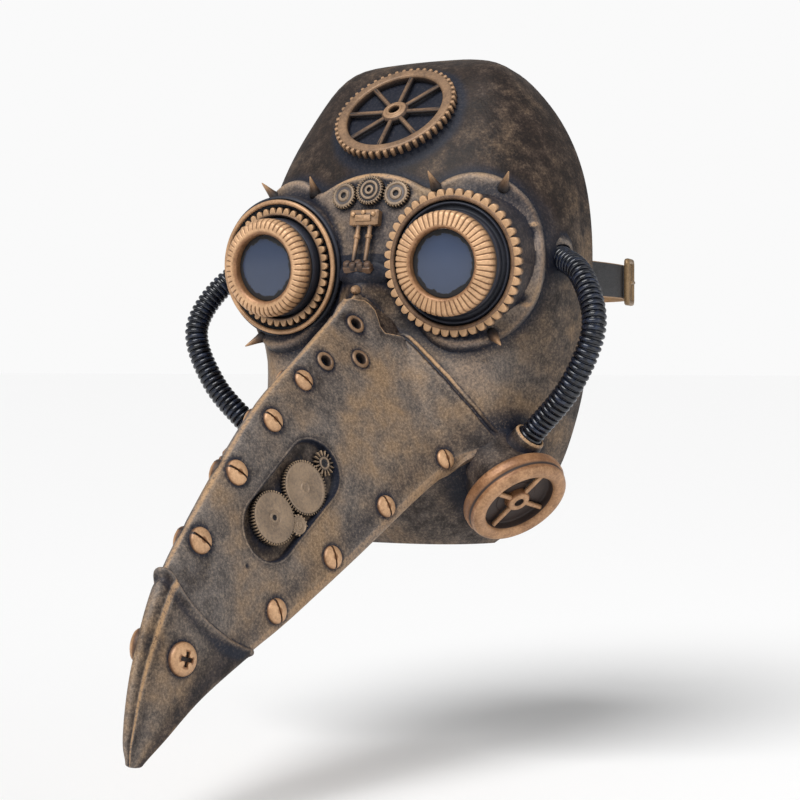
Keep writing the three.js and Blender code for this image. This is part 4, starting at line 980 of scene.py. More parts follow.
def makePlate():
    halfWidth, low, high = plate["spread"]
    x, z = np.meshgrid(np.arange(-halfWidth, halfWidth + 0.01, plate["pitch"]),
                       np.arange(low, high + 0.01, plate["pitch"]), indexing="ij")
    point, normal = browPoint(x, z)
    depth = plateInside(x, z)
    t = np.clip(depth / plate["edge"], 0, 1)
    fromLip, fromGutter = depth - plate["lip"], depth - plate["gutter"]
    height = (plate["rise"] + plate["foot"]) * np.sqrt(1 - (1 - t) ** 2) - plate["foot"]
    height = height + 0.3 * bell(fromLip, 1.2) - 0.5 * bell(fromGutter, 2.2)
    nose = (np.abs(x) < 22) & (z < 6)
    middle = ease(22 - np.abs(x), 0, 5) * ease(40 - z, 0, 5)
    hump = ease(26 - np.abs(x), 0, 8) * (z > 30)
    rubAndSheen = np.where(nose, 0.0, 0.36 + 0.24 * bell(fromLip, 1.2))
    rubAndSheen = np.maximum(rubAndSheen, 0.95 * hump * bell(fromLip, 1.5))
    # the darkening along the plate's edge, where it meets the hood, is painted shade
    grimeAndShade = np.maximum(np.maximum(0.8 * bell(depth, 1.4), 0.8 * nose), 0.35 * middle)
    grimeAndShade = np.maximum(grimeAndShade, 0.7 * hump * bell(fromGutter, 1.8))
    keep = depth > -plate["past"]
    for name, sign in sides:
        away = np.hypot(x - sign * goggle["x"], z)
        keep &= away > plate["hole"]
        # the darkening round each goggle ring is painted shade at the ring's foot
        grimeAndShade = np.maximum(grimeAndShade, 0.6 * bell(away - 36, 5))
    outer = np.abs(x) > plate["tabX"]
    tab = outer * ease(plate["tabZ"] - np.abs(z), 0, 3) * ease(depth, 1.5, 3)
    dent = outer * bell(np.abs(z) - plate["tabZ"] - 0.5, 2.6) * bell(depth - 8, 3.4)
    knob = outer * bell(np.abs(z) - plate["tabZ"] - 3.5, 1.8) * bell(depth - 4, 2.2)
    height = height + 1.0 * tab - 1.6 * dent + 1.2 * knob - 1.2 * (depth < -0.4)
    grimeAndShade = np.maximum(grimeAndShade * (1 - 0.8 * tab), dent)
    rubAndSheen = np.maximum(np.maximum(rubAndSheen, 0.42 * tab), 0.9 * knob)
    spot = point + normal * height[..., None]
    whole = keep[:-1, :-1] & keep[1:, :-1] & keep[1:, 1:] & keep[:-1, 1:]
    used = np.zeros(x.shape, bool)
    for a, b in ((0, 0), (1, 0), (1, 1), (0, 1)):
        used[a:a + whole.shape[0], b:b + whole.shape[1]] |= whole
    number = -np.ones(x.shape, int)
    number[used] = np.arange(used.sum())
    quad = np.stack([number[:-1, :-1], number[1:, :-1], number[1:, 1:], number[:-1, 1:]], -1)[whole]
    bit = Bit(spot[used], quad.tolist(), rubAndSheen[used], np.clip(grimeAndShade[used], 0, 1))
    for name, sign in sides:
        bore, top, radius = plate["drumBore"], plate["drumTop"], plate["drumRadius"][name]
        drum = rounded([(bore, -46), (radius + 4, -46), (radius + 0.6, -30), (radius, -20),
                        (radius - 1.4, top), (bore, top)], 1.5, 3)
        bit = bit + keptOut(turned(drum, 96, "ring", 0.2, 0.5).placed(goggleFrame(sign)))
    addPiece("gogglePlate", bit, plateLatex, ["goggle_plate"], None)


# Hood, with a boss under the forehead gear and a socket for the upper end of each hose
hood = dict(wall=2.5, spokes=216, rings=104, innerRings=40, poleFraction=0.02, rimSearch=(0.3, 2.0),
            lastRing=(0.995, 0.993), edge=((1.0, -0.5), (1.002, -1.25), (1.0, -2.0)), mouthWall=4.0)
boss = dict(gap=0.2, flat=(28.2, 32.5), reach=34, depth=-30)
lighterSpots = [(0.5, (58, -52, -52), 36), (0.35, (82, -26, 8), 16)]  # strength, place and spread of lighter patches on the cheeks and temples
socketProfile = rounded([(5.6, -22), (17, -22), (12, -10), (8.4, -2.6), (7.6, -0.4), (6.6, 0.3),
                         (5.8, -1)], 1.6, 4)


def makeHoodShape():
    turn = 2 * math.pi * (np.arange(hood["spokes"]) + 0.5) / hood["spokes"]

    def spoke(polar):
        return np.stack([np.sin(polar) * np.sin(turn), -np.cos(polar), np.sin(polar) * np.cos(turn)], -1)

    def onMask(polar):
        point = headPoint(spoke(polar))
        return (point[:, 1] < backEdge(point[:, 2])) & (point[:, 2] > head["lowerEdgeZ"])

    rim = lastInside(*(np.full(len(turn), polar) for polar in hood["rimSearch"]), 24, onMask)

    def skin(fractions, offset):
        direction = spoke(rim * np.asarray(fractions)[:, None])
        return headPoint(direction) + headNormal(direction) * offset

    outerLast, innerLast = hood["lastRing"]
    outer = skin(np.linspace(hood["poleFraction"], outerLast, hood["rings"]), 0.0)
    seat = foreheadFrame()
    local = localTo(seat, outer)
    away = np.hypot(local[..., 0], local[..., 1])
    rise = (-foreheadGear["thick"] - boss["gap"] - local[..., 2]) * (1 - ease(away, *boss["flat"]))
    rise = np.where((away < boss["reach"]) & (local[..., 2] > boss["depth"]), np.maximum(rise, 0), 0)
    outer = outer + rise[..., None] * seat[:3, 2]
    edge = [skin([fraction], offset) for fraction, offset in hood["edge"]]
    inner = skin(np.linspace(innerLast, hood["poleFraction"], hood["innerRings"]), -hood["wall"])
    bit = loft(np.concatenate([outer, *edge, inner]), "fan")
    hole = turned([(goggle["holeRadius"], z) for z in goggle["holeReach"]], 64, "fan")
    mouth = shrunkBeak(np.linspace(0.0, beak["mouthStation"], 12)[:, None], hood["mouthWall"])
    holes = [hole.placed(goggleFrame(sign)) for name, sign in sides]
    return carved(bit, holes + [loft(mouth[:, ::2], "fan")])


def makeHood(beakBorder):
    bit = makeHoodShape()
    points = bit.points
    local = localTo(foreheadFrame(), points)
    away = np.hypot(local[:, 0], local[:, 1])
    front = local[:, 2] > boss["depth"]
    # Painted shade: darker round the forehead gear and on the boss under it, just past the plate's edge,
    # along the beak's border, beside the hoses and round the filter drums; the inside gets a flat darker
    # value
    grimeAndShade = np.maximum(0.85 * bell(away - 33, 4.5) * front, 0.8 * (away < 32) * front)
    pastPlate = np.minimum(plateInside(points[:, 0], points[:, 2]), 0)
    grimeAndShade = np.maximum(grimeAndShade, strongestBand((0.55 * (points[:, 1] < 6), pastPlate, 5),
                                    (0.55, nearest(points, beakBorder[::3]), 6)))
    for name, sign in sides:
        line, length = hoseLine(sign)
        fromHose = np.maximum(nearest(points, line[::8]) - 9, 0)
        drum = localTo(filterFrame(sign), points)
        fromDrum = np.maximum(np.hypot(drum[:, 0], drum[:, 1]) - 22, 0)
        grimeAndShade = np.maximum(grimeAndShade, strongestBand((0.4, fromHose, 6), (0.7 * (drum[:, 2] > -60), fromDrum, 9)))
    inside = depthInHead(points) > 1.6
    grimeAndShade = np.where(inside, 0.55, grimeAndShade)
    rubAndSheen = 0.06 - 0.2 * ease(points[:, 2], 5, 40) + 0.12 * ease(-points[:, 2], 85, 110)
    mirrored = np.column_stack([np.abs(points[:, 0]), points[:, 1:]])
    for strength, place, spread in lighterSpots:
        rubAndSheen = rubAndSheen + strength * bell(np.linalg.norm(mirrored - place, axis=1), spread)
    bit.rubAndSheen, bit.grimeAndShade = rubAndSheen * ~inside, np.clip(grimeAndShade, 0, 1)
    addPiece("hoodSkin", bit, latex, ["hood"], 50)
    high = socketProfile[:, 1]
    ring = turned(socketProfile, 48, "ring", np.where(high > -6, 0.45, 0.1), np.where(high > -3, 0.1, 0.4))
    for name, sign in sides:
        line, length = hoseLine(sign)
        place = frameAt(line[0], line[3] - line[0], (0, 0, 1))
        addPiece("hoseSocket_" + name, keptOut(ring.placed(place)), latex, (), None)


beakBorder = makeBeak()
print("beak made")
makeBeakTip()
makeHood(beakBorder)
print("hood made")
makePlate()
print("plate made")


# Goggles: profiles are radius and height along the goggle's axis
cups = {
    "left": [(20, -18.2), (32.6, -18.2), (32.6, -16.6), (30.0, -16.4), (29.6, -13.6), (28.9, -12.6),
             (28.2, -12.9), (27.4, -14.2), (25.6, -14.2), (25.0, -11.0), (24.0, -9.8), (20, -9.8)],
    "right": [(20, -18.2), (35.2, -18.2), (35.6, -16.8), (34.2, -15.6), (33.4, -17.0), (31.2, -16),
              (29.4, -16.8), (24.9, -16.8), (24.3, -11.2), (23.6, -9.8), (20, -9.8)],
}
bezels = {
    "left": [(16.6, -9.5), (24.4, -9.5), (25.3, -8), (25.3, -3), (24.3, -1.4), (19.6, -0.2), (18.2, 0.2),
             (17.3, 0.0), (16.6, -0.8)],
    "right": [(16.6, -9.5), (23.4, -9.5), (24.6, -7), (24.4, -3), (22.9, -0.6), (20.4, 0.4), (18.6, 0.3),
              (17.4, -0.2), (16.6, -1)],
}
ribs = {"left": dict(count=52, start=17.8), "right": dict(count=50, start=19.2)}
ribShape = dict(samples=12, groove=0.13, depth=0.6, foot=-6.5, sideShare=0.8, faceShare=0.35)
gearRings = {
    "left": dict(tip=35.7, root=33.3, bore=30.2, teeth=44, back=-16.3, thick=4.1, foot=1.02, top=0.42),
    "right": dict(tip=29.9, root=27.7, bore=25.4, teeth=42, back=-16.5, thick=3.4, foot=1.0, top=0.36),
}
lensProfile = np.array([(0.4, -2.7), (5, -2.8), (9, -3.05), (12.5, -3.4), (15.2, -3.75), (16.3, -3.9),
                        (16.4, -6.4), (0.4, -6.4)])
rimRight = dict(radius=32.6, thick=1.2, z=-14.4, darkerBelow=-14.5)
spikeRows = [("inner_top", 33.5, 37.5), ("outer_top", 63, 37), ("lower", 63, -34.5)]
spikeProfile = [(0.05, 9.6), (0.35, 9.1), (0.8, 7.4), (1.4, 4.8), (2.0, 2.4), (2.6, 0.6),
                (3.0, -0.6), (3.2, -3.0)]
spikeWear = [(1, 1, 0.9, 0.6, 0.3, 0.1, 0, 0), (0, 0, 0, 0, 0.2, 0.5, 0.7, 0.7)]
spikeLean = 0.8
toothFoot = 1.2  # how far a tooth reaches into its wheel
roundTurns = 112


def gearTooth(length, foot, top, thick, lift):  # a round-headed tooth along x, its foot at the origin
    waist = foot * 0.3 + top * 0.2
    outline = rounded([(-toothFoot, -foot / 2), (length * 0.5, -waist), (length, -top / 2),
                       (length, top / 2), (length * 0.5, waist), (-toothFoot, foot / 2)], 0.35, 1)
    middle = np.array([length * 0.3, 0])
    loops, rubAndSheen = [], []
    for inset, z in ((0.15, 0), (0, 0.3), (0, thick - 0.5), (0.25, thick - 0.1), (0.55, thick)):
        shrink = np.array([1 - inset / (length + toothFoot), 1 - 2 * inset / foot])
        loops.append(atHeight(middle + (outline - middle) * shrink, z + lift))
        rubAndSheen.append(0.2 + 0.6 * (z > thick * 0.6))
    return loft(loops, "fan", rubAndSheen)


def withTeeth(wheel, gear, thick, lift, finish):
    pitch = 2 * math.pi * gear["root"] / gear["teeth"]
    tooth = gearTooth(gear["tip"] - gear["root"], pitch * gear["foot"], pitch * gear["top"], thick, lift)
    return toothed(wheel, tooth, gear["teeth"], gear["root"] - 0.05, finish)


def makeCup(name, place):
    cup = rounded(cups[name], 0.7, 3)
    radius, z = cup.T
    rubAndSheen = np.where((radius > 25) & (radius < 28.5) & (z > -13), 0.5, 0.15)
    bit = turned(cup, roundTurns, "ring", rubAndSheen, 0.05 + 0.3 * np.clip((z + 10) / -6, 0, 1))
    addPiece("goggleCup_" + name, bit.placed(place), oldIron, ["goggle_cup_" + name], None)


def makeGearRing(name, place):
    ring = gearRings[name]
    bore, root, thick = ring["bore"], ring["root"], ring["thick"]
    body = rounded([(bore, 0), (root, 0), (root, thick - 0.7), (root - 1.2, thick), (bore + 0.8, thick),
                    (bore, thick - 0.6)], 0.4, 2)
    # painted shade: the ring's foot and the lower part of its walls, down between ring and bezel, are
    # darkened
    wheel = turned(body, roundTurns, "ring", 0.3, np.where(body[:, 1] < 1.5, 0.6, 0.0))
    gear = withTeeth(wheel, ring, thick - 0.25, 0.1, agedCopper).placed(place @ shifted(0, 0, ring["back"]))
    addPiece("gearRing_" + name, gear, agedCopper, ["gear_ring_" + name])


def makeBezel(name, place):  # its ribs are waves of its face
    bezel = rounded(bezels[name], 0.8, 3)
    count, low, high = ribs[name]["count"], ribs[name]["start"], bezel[:, 0].max()
    turns = count * ribShape["samples"]
    angle = np.arange(turns) * 2 * math.pi / turns
    groove = bell(np.mod(np.arange(turns) / ribShape["samples"], 1) - 0.5, ribShape["groove"])
    share = ease(bezel[:, 0], low - 0.2, low + 0.8) * (bezel[:, 1] > ribShape["foot"])
    drop = np.outer(share, groove) * ribShape["depth"]
    tilt = np.clip((bezel[:, 0] - low) / (high - low), 0, 1)[:, None]
    radius = bezel[:, :1] - drop * tilt * ribShape["sideShare"]
    height = bezel[:, 1:] - drop * (1 - ribShape["faceShare"] * tilt)
    loops = np.stack([radius * np.cos(angle), radius * np.sin(angle), height], -1)
    rubAndSheen = (0.7 - 0.5 * drop) * (0.4 + 0.6 * ease(bezel[:, :1], 17.2, 19))
    # painted shade: darker in the rib grooves and down the outer wall, which falls away between bezel and
    # gear ring
    grimeAndShade = np.clip(drop * 0.75 + ease(-bezel[:, 1:], 3, 7) * 0.7, 0, 1)
    bit = loft(loops, "ring", rubAndSheen, grimeAndShade).placed(place)
    addPiece("bezelRibbed_" + name, bit, copper, ["bezel_" + name], 60)


def makeLens(name, place):
    lens = turned(lensProfile, 96, "fan", 0.0, ease(lensProfile[:, 0], 12.0, 16.0))
    addPiece("lensGlass_" + name, lens.placed(place), smokedLens, ["lens_" + name], 30)


def makeRightRim():
    angle = circleOf(12)
    tube = np.stack([rimRight["radius"] + rimRight["thick"] * np.cos(angle),
                     rimRight["z"] + rimRight["thick"] * np.sin(angle)], 1)
    # the back half of the tube is darker
    ring = turned(tube, roundTurns, "ring", 0.6, 0.1 + 0.3 * (tube[:, 1] < rimRight["darkerBelow"]))
    addPiece("goggleRim_right", ring.placed(goggleFrame(-1)), copper, ["goggle_rim_right"], None)


def makeSpikes():
    cone = turned(spikeProfile, 20, "fan", *spikeWear)
    places, nodes = [], []
    for name, sign in sides:
        for word, x, z in spikeRows:
            point, normal = browPoint(sign * x, z)
            away = unit(np.array([sign * (x - goggle["x"]), 0, z - goggle["z"]], float))
            lean = unit(normal + away * spikeLean)
            places.append(frameAt(point + normal * plate["rise"], lean, (1, 0, 0)))
            nodes.append(f"spike_{word}_{name}")
    addPiece("spikes", scattered(cone, places, np.ones(len(places)), bronze), bronze, nodes, None)


for name, sign in sides:
    for makePart in (makeCup, makeGearRing, makeBezel, makeLens):
        makePart(name, goggleFrame(sign))
makeRightRim()
makeSpikes()
print("goggles made")


# Gears: each ring profile steps inwards from the teeth to the hub, as radius and height
browRings = [(4.9, 3.0), (4.7, 2.5), (3.2, 2.5), (3.0, 3.1), (1.6, 3.1), (1.3, 1.8)]
browMiddleRings = [(6.3, 3.4), (6.1, 2.8), (5.0, 2.8), (4.8, 3.5), (3.7, 3.5), (3.5, 2.8), (2.5, 2.8),
                   (2.3, 3.6), (1.2, 3.6), (1.0, 2.2)]
browRows = [  # name, x, z, radius, teeth, rings
    ("right", -13.4, 34.2, 6.8, 26, browRings), ("middle", 0.8, 36.4, 7.6, 30, browMiddleRings),
    ("left", 15.0, 34.2, 6.9, 26, browRings)]
trainRows = [  # along, across, radius, teeth, thickness, rings, share of the radius that is teeth
    (13.8, -1.0, 12.6, 52, 3.6,
     [(3.6, 3.6), (3.4, 3.2), (2.6, 3.2), (2.4, 3.7), (1.4, 3.7), (1.1, 2.6)], 0.08),
    (-11.6, 2.2, 13.0, 54, 2.9,
     [(10.6, 2.9), (10.4, 2.7), (2.8, 2.7), (2.6, 3.1), (1.9, 3.1), (1.7, 2.8)], 0.08),
    (-29.6, 2.2, 6.2, 15, 3.0,
     [(2.2, 3.0), (2.0, 2.4), (1.2, 2.4), (1.0, 1.8)], 0.5),
    (4.8, 11.0, 5.2, 16, 3.2,
     [(3.6, 3.2), (3.4, 2.8), (1.9, 2.8), (1.7, 3.3), (1.1, 3.3), (0.9, 2.9)], 0.14)]


def makeForeheadGear():
    gear = foreheadGear
    bore, root, hub, low = gear["rimBore"], gear["root"], gear["hub"], -gear["thick"]
    rim = rounded([(bore, low), (root, low), (root, -0.6), (root - 0.8, 0), (bore + 0.8, 0),
                   (bore, -0.8)], 0.5, 2)
    high = rim[:, 1]
    # painted shade: the lower walls of rim and hub, where the gear stands off the forehead, are darkened
    wheel = turned(rim, 120, "ring", np.where(high > -1, 0.55, 0.1), np.where(high < -1.6, 0.5, 0.0))
    centre = rounded([(gear["hubBore"], low), (hub, low), (hub, -1.4), (hub - 1.2, -0.3), (4.6, -0.2),
                      (3.9, 0.5), (3.1, 0.5), (gear["hubBore"], -0.4)], 0.5, 2)
    high = centre[:, 1]
    wheel = wheel + turned(centre, 64, "ring", np.where(high > -0.6, 0.7, 0.2),
                           np.where(high < -1.5, 0.5, 0.0))
    spoke = block(bore - hub + 2.2, gear["spokeWidth"], 2.6, 0.7, 0.45).placed(shifted(0, 0, -2.2))
    wheel = toothed(wheel, spoke, gear["spokes"], (bore + hub) / 2, copper)
    wheel = withTeeth(wheel, gear, gear["thick"] - 0.4, low, copper)
    addPiece("foreheadGear", wheel.placed(foreheadFrame()), bronze, ["forehead_gear"])


def smallGear(radius, teeth, thick, rings, toothShare=0.1):
    root = radius * (1 - toothShare)
    steps = [(0.05, 0), (root, 0), (root, thick - 0.3), (root - 0.4, thick), *rings, (0.05, rings[-1][1])]
    body = rounded(steps, 0.2, 2, False)[1:-1]
    high = body[:, 1]
    wheel = turned(body, max(48, teeth * 2), "fan", np.where(high > thick - 0.5, 0.6, 0.1),
                   np.where(high < thick - 0.5, 0.8, 0.0))
    gear = dict(tip=radius, root=root, teeth=teeth, foot=0.72, top=0.4 if toothShare < 0.2 else 0.5)
    return withTeeth(wheel, gear, thick - 0.15, 0.0, greyBronze)


def makeBrowGears():
    for name, x, z, radius, teeth, rings in browRows:
        gear = smallGear(radius, teeth, rings[0][1], rings).placed(browFrame(x, z, plate["rise"] - 0.1))
        addPiece("browGear_" + name, gear, greyBronze, ["brow_gear_" + name])


def makeGearTrain(name, sign):
    train = Bit([], [])
    for along, across, *gear in trainRows:
        train = train + smallGear(*gear).placed(shifted(along, sign * across, 0.3 - pocket["depth"]))
    train = train.placed(pocketFrames[name])
    addPiece("gearTrain_" + name, train, greyBronze, ["gear_train_" + name])


makeForeheadGear()
makeBrowGears()
for name, sign in sides:
    makeGearTrain(name, sign)
print("gears made")


# Bracket on the bridge of the nose
bracket = dict(z=22.9, width=16, height=7.6, rise=4.4, rodRadius=1.15, rodX=3.3, rodTop=20.4, rodBottom=-2.5,
               footZ=-4.2, footWidth=15, footHeight=4.6, nubZ=-11.5, nubLift=0.3, collar=0.5,
               studs=((-5.6, 1.4), (5.6, 1.4), (0, 2.2)),
               bolts=((-5.6, 0.2), (-2.0, -0.8), (2.0, -0.8), (5.6, 0.2), (0, 1.4)))
studProfile = rounded([(0.1, 1.3), (0.9, 1.2), (1.35, 0.4), (1.4, -1.0)], 0.4, 2, False)
boltProfile = rounded([(0.1, 1.9), (1.5, 1.8), (2.0, 0.9), (2.1, -1.5)], 0.5, 2, False)
nubProfile = [(0.1, 2.6), (1.2, 2.4), (2.0, 1.4), (2.4, -0.2), (2.6, -2.5)]


def makeBracket():
    rise = bracket["rise"]
    top, foot = (browFrame(0.0, bracket[word], plate["rise"]) for word in ("z", "footZ"))
    bit = block(bracket["width"], bracket["height"], 2 * rise, 0.9, 0.5).placed(top)
    bit = bit + block(bracket["width"] - 7, 3.2, 1.4, 0.4, 0.6).placed(top @ shifted(0, -0.6, rise + 0.3))
    bit = bit + block(bracket["footWidth"], bracket["footHeight"], rise, 0.9, 0.0).placed(foot)
    stud = turned(studProfile, 16, "fan", 0.8)
    for x, y in bracket["studs"]:
        bit = bit + stud.placed(top @ shifted(x, y, rise))
    bolt = turned(boltProfile, 20, "fan", 0.15, 0.35)
    for x, y in bracket["bolts"]:
        bit = bit + bolt.placed(foot @ shifted(x, y, rise / 2 - 0.4))
    start, end = (browFrame(0.0, bracket[word], plate["rise"] + rise / 2)[:3, 3]
                  for word in ("rodTop", "rodBottom"))
    length = float(np.linalg.norm(end - start))
    thin = bracket["rodRadius"]
    thick = thin + bracket["collar"]
    rod = turned([(thin, 0), (thin, length * 0.3), (thick, length * 0.32), (thick, length * 0.4),
                  (thin, length * 0.42), (thin, length)], 20, "fan", 0.5)
    for name, sign in sides:
        head = start * [0, 1, 1] + [sign * bracket["rodX"], 0, 0]
        bit = bit + rod.placed(frameAt(head, end - start, (1, 0, 0)))
    nub = turned(nubProfile, 24, "fan", 0.6)
    bit = bit + nub.placed(browFrame(0.0, bracket["nubZ"], bracket["nubLift"]))
    addPiece("bridgeBracket", bit, agedCopper, ["bridge_bracket"])


makeBracket()


# Screws, drawn one unit in radius, and eyelets
domeProfile = [(0.01, 0.44), (0.3, 0.43), (0.6, 0.38), (0.82, 0.29), (0.94, 0.17), (1.0, 0.04), (1.0, -0.25)]
domeWear = [(0.7, 0.7, 0.65, 0.6, 0.5, 0.2, 0.0), (0, 0, 0, 0, 0.1, 0.5, 0.8)]
eyeletProfile = rounded([(2.7, -4), (2.8, 0.8), (3.3, 1.4), (4.2, 1.3), (4.9, 0.5), (5.1, -1.2),
                         (4.2, -4)], 0.4, 2)
crossScale = 0.98


def makeFastenings():
    dome = turned(domeProfile, 40, "fan", *domeWear)
    slotted = carved(dome, [block(3, 0.17, 0.6, 0.02).placed(shifted(0, 0, 0.49))])
    x, y, z = slotted.points.T
    slotted.grimeAndShade = np.maximum(slotted.grimeAndShade, 0.95 * ((np.abs(y) < 0.1) & (z < 0.25)))
    nodes = [f"screw_{row}_{k}_{name}" for name, sign in sides
             for row in ("upper", "lower") for k in (1, 2, 3, 4)]
    screws = scattered(slotted, *zip(*screwFrames), copper)
    addPiece("slottedScrews", screws, copper, nodes, 35)
    bars = [block(0.88, 0.26, 0.5, 0.02).placed(shifted(0, 0, 0.42, turn)) for turn in (0, math.pi / 2)]
    crossed = carved(dome, bars)
    x, y, z = crossed.points.T
    crossed.grimeAndShade = np.maximum(crossed.grimeAndShade, 0.9 * ((np.hypot(x, y) < 0.5) & (z < 0.3)))
    places, sizes = zip(*crossFrames)
    heads = scattered(crossed, places, np.array(sizes) * crossScale, copper)
    addPiece("crossScrews", heads, copper, ["cross_screw_left", "cross_screw_right"], 35)
    high = eyeletProfile[:, 1]
    loop = turned(eyeletProfile, 36, "ring", np.where(high > 0.8, 0.55, 0.0), np.where(high < 0.3, 0.8, 0.1))
    nodes = [f"eyelet_{word}_{name}" for name, sign in sides for word in ("top", "front", "back")]
    loops = scattered(loop, eyeletFrames, np.ones(len(eyeletFrames)), bronze)
    addPiece("eyelets", loops, bronze, nodes, None)


makeFastenings()
print("fastenings made")


# Hoses, their collars and the cheek filters
collarProfile = rounded([(6.3, 3), (6.3, 0.6), (6.9, -0.2), (7.6, 0), (8.0, 1), (8.6, 5), (10.5, 12),
                         (12, 20), (6.3, 20)], 0.6, 3)
housingProfile = rounded([(0.1, -44), (19, -44), (18, -28), (19, -18), (20.8, -12.4),
                          (0.1, -12.4)], 1.2, 3, False)
wheelRim = rounded([(10, -12), (22, -12), (25.6, -11.4), (26.4, -9.5), (26.3, -6.2), (25.4, -5.4),
                    (25.0, -4.7), (25.5, -3.6), (24.7, -1.2), (22.6, 0), (20.2, -0.1), (18.6, -1.2),
                    (18.0, -3), (17.8, -6.2), (10, -6.2)], 0.9, 4)
wheelFloor = [(0.1, -6.2), (10.2, -6.2), (10.2, -8), (0.1, -8)]
wheelHub = rounded([(0.1, -4.4), (2.3, -4.4), (2.5, -2.4), (3.4, -2.0), (5.2, -2.4), (6.0, -3.4),
                    (6.2, -6.4), (0.1, -6.4)], 0.4, 2, False)[1:-1]
filterWheel = dict(spokes=4, spokeRadius=1.25, spokeHalf=7, spokeZ=-4.4, spokeAt=11.6, stepZ=-4.9)


def makeHose(name, sign):
    line, length = hoseLine(sign)
    path = bpy.data.curves.new("hosePath", "CURVE")
    path.dimensions = "3D"
    spline = path.splines.new("POLY")
    spline.points.add(len(line) - 1)
    spline.points.foreach_set("co", np.column_stack([line, np.ones(len(line))]).ravel())
    angle = circleOf(10)
    half = length / hose["ribs"] * hose["ribShare"]
    bead = np.stack([hose["radius"] - hose["bead"] + hose["bead"] * np.cos(angle), half * np.sin(angle)], 1)
    # rub on the outer crest of each rib carries the hose's painted sheen
    rib = turned(bead, 28, "ring", np.clip(np.cos(angle), 0, 1))
    bit = grown(linked("hosePath", path), hoseTree, Rib=rib, Count=hose["ribs"], Core=hose["core"],
                Finish=hoseRubber)
    tube = addPiece("hoseTube_" + name, bit, hoseRubber, ["hose_" + name], None)
    route = toPart(line)
    length / 1000
    high = collarProfile[:, 1]
    ring = turned(collarProfile, 56, "ring", 0.8 * (high < 0.9), 0.4 * (high > 1.5))
    ring = keptOut(ring.placed(frameAt(line[-1], line[-1] - line[-4], (0, 0, 1))))
    addPiece("hoseCollar_" + name, ring, latex, ["hose_collar_" + name], None)


def makeFilter(name, sign):
    place = filterFrame(sign)
    drum = keptOut(turned(housingProfile[1:-1], 96, "fan", 0.08, 0.2).placed(place))
    addPiece("filterHousing_" + name, drum, latex, ["filter_housing_" + name], 50)
    radius, z = wheelRim.T
    step = bell(z - filterWheel["stepZ"], 0.7) * (radius > 23)
    grimeAndShade = np.maximum(0.85 * ((z < -2.5) & (radius < 19)), 0.9 * step)
    wheel = turned(wheelRim, 120, "ring", np.where(z > -3, 0.45, 0.25), grimeAndShade)
    wheel = wheel + turned(wheelFloor, 96, "fan", 0.0, 0.85)
    radius, z = wheelHub.T
    wheel = wheel + turned(wheelHub, 48, "fan", np.where(z > -3, 0.5, 0.0),
                           np.where(radius < 2.5, 0.95, 0.0))
    half = filterWheel["spokeHalf"]
    spoke = turned([(filterWheel["spokeRadius"], -half), (filterWheel["spokeRadius"], half)], 12, "fan", 0.5)
    spoke = spoke.placed(frameAt((0, 0, filterWheel["spokeZ"]), (1, 0, 0), (0, 0, 1)))
    wheel = toothed(wheel, spoke, filterWheel["spokes"], filterWheel["spokeAt"], copper)
    addPiece("filterWheel_" + name, wheel.placed(place), copper, ["filter_wheel_" + name])


for name, sign in sides:
    makeHose(name, sign)
    makeFilter(name, sign)
print("hoses and filters made")


# Strap, a half oval round the back of the head, and its buckle
strap = dict(z=-4.0, width=18, thick=2, startY=2, halfWidth=82.8, backY=152, cornerPower=3, steps=120)
buckle = dict(y=92, height=25, length=19, bar=3, thick=3, middleBar=2.6, gap=0.3, corner=2.2, square=0.7)
upward = np.array([0, 0, 1])


def strapPoint(share):
    turn = np.pi * (np.asarray(share, float) - 0.5)
    power = 2 / strap["cornerPower"]
    x = strap["halfWidth"] * np.sign(turn) * np.abs(np.sin(turn)) ** power
    y = strap["startY"] + (strap["backY"] - strap["startY"]) * np.abs(np.cos(turn)) ** power
    return np.stack([x, y, np.full(x.shape, strap["z"])], -1)


def makeStrap():
    share = np.linspace(0, 1, strap["steps"] * 8)
    run = runAlong(strapPoint(share))
    here = strapPoint(np.interp(np.linspace(0, run[-1], strap["steps"]), run, share))
    out = unit(np.cross(np.gradient(here, axis=0), upward))
    half, wide = strap["thick"] / 2, strap["width"] / 2
    section = rounded([(half, -wide), (half, wide), (-half, wide), (-half, -wide)], 0.7, 2)
    loops = here[:, None, :] + section[None, :, :1] * out[:, None, :] + section[None, :, 1:] * upward
    rubAndSheen = np.where(np.abs(section[:, 1]) > wide - 0.55, 0.9, np.where(section[:, 0] > 0.2, 0.75, 0.0))
    bit = loft(loops, "fan", np.broadcast_to(rubAndSheen, loops.shape[:2]))
    addPiece("strapBand", bit, strapLeather, ["strap"], 50)


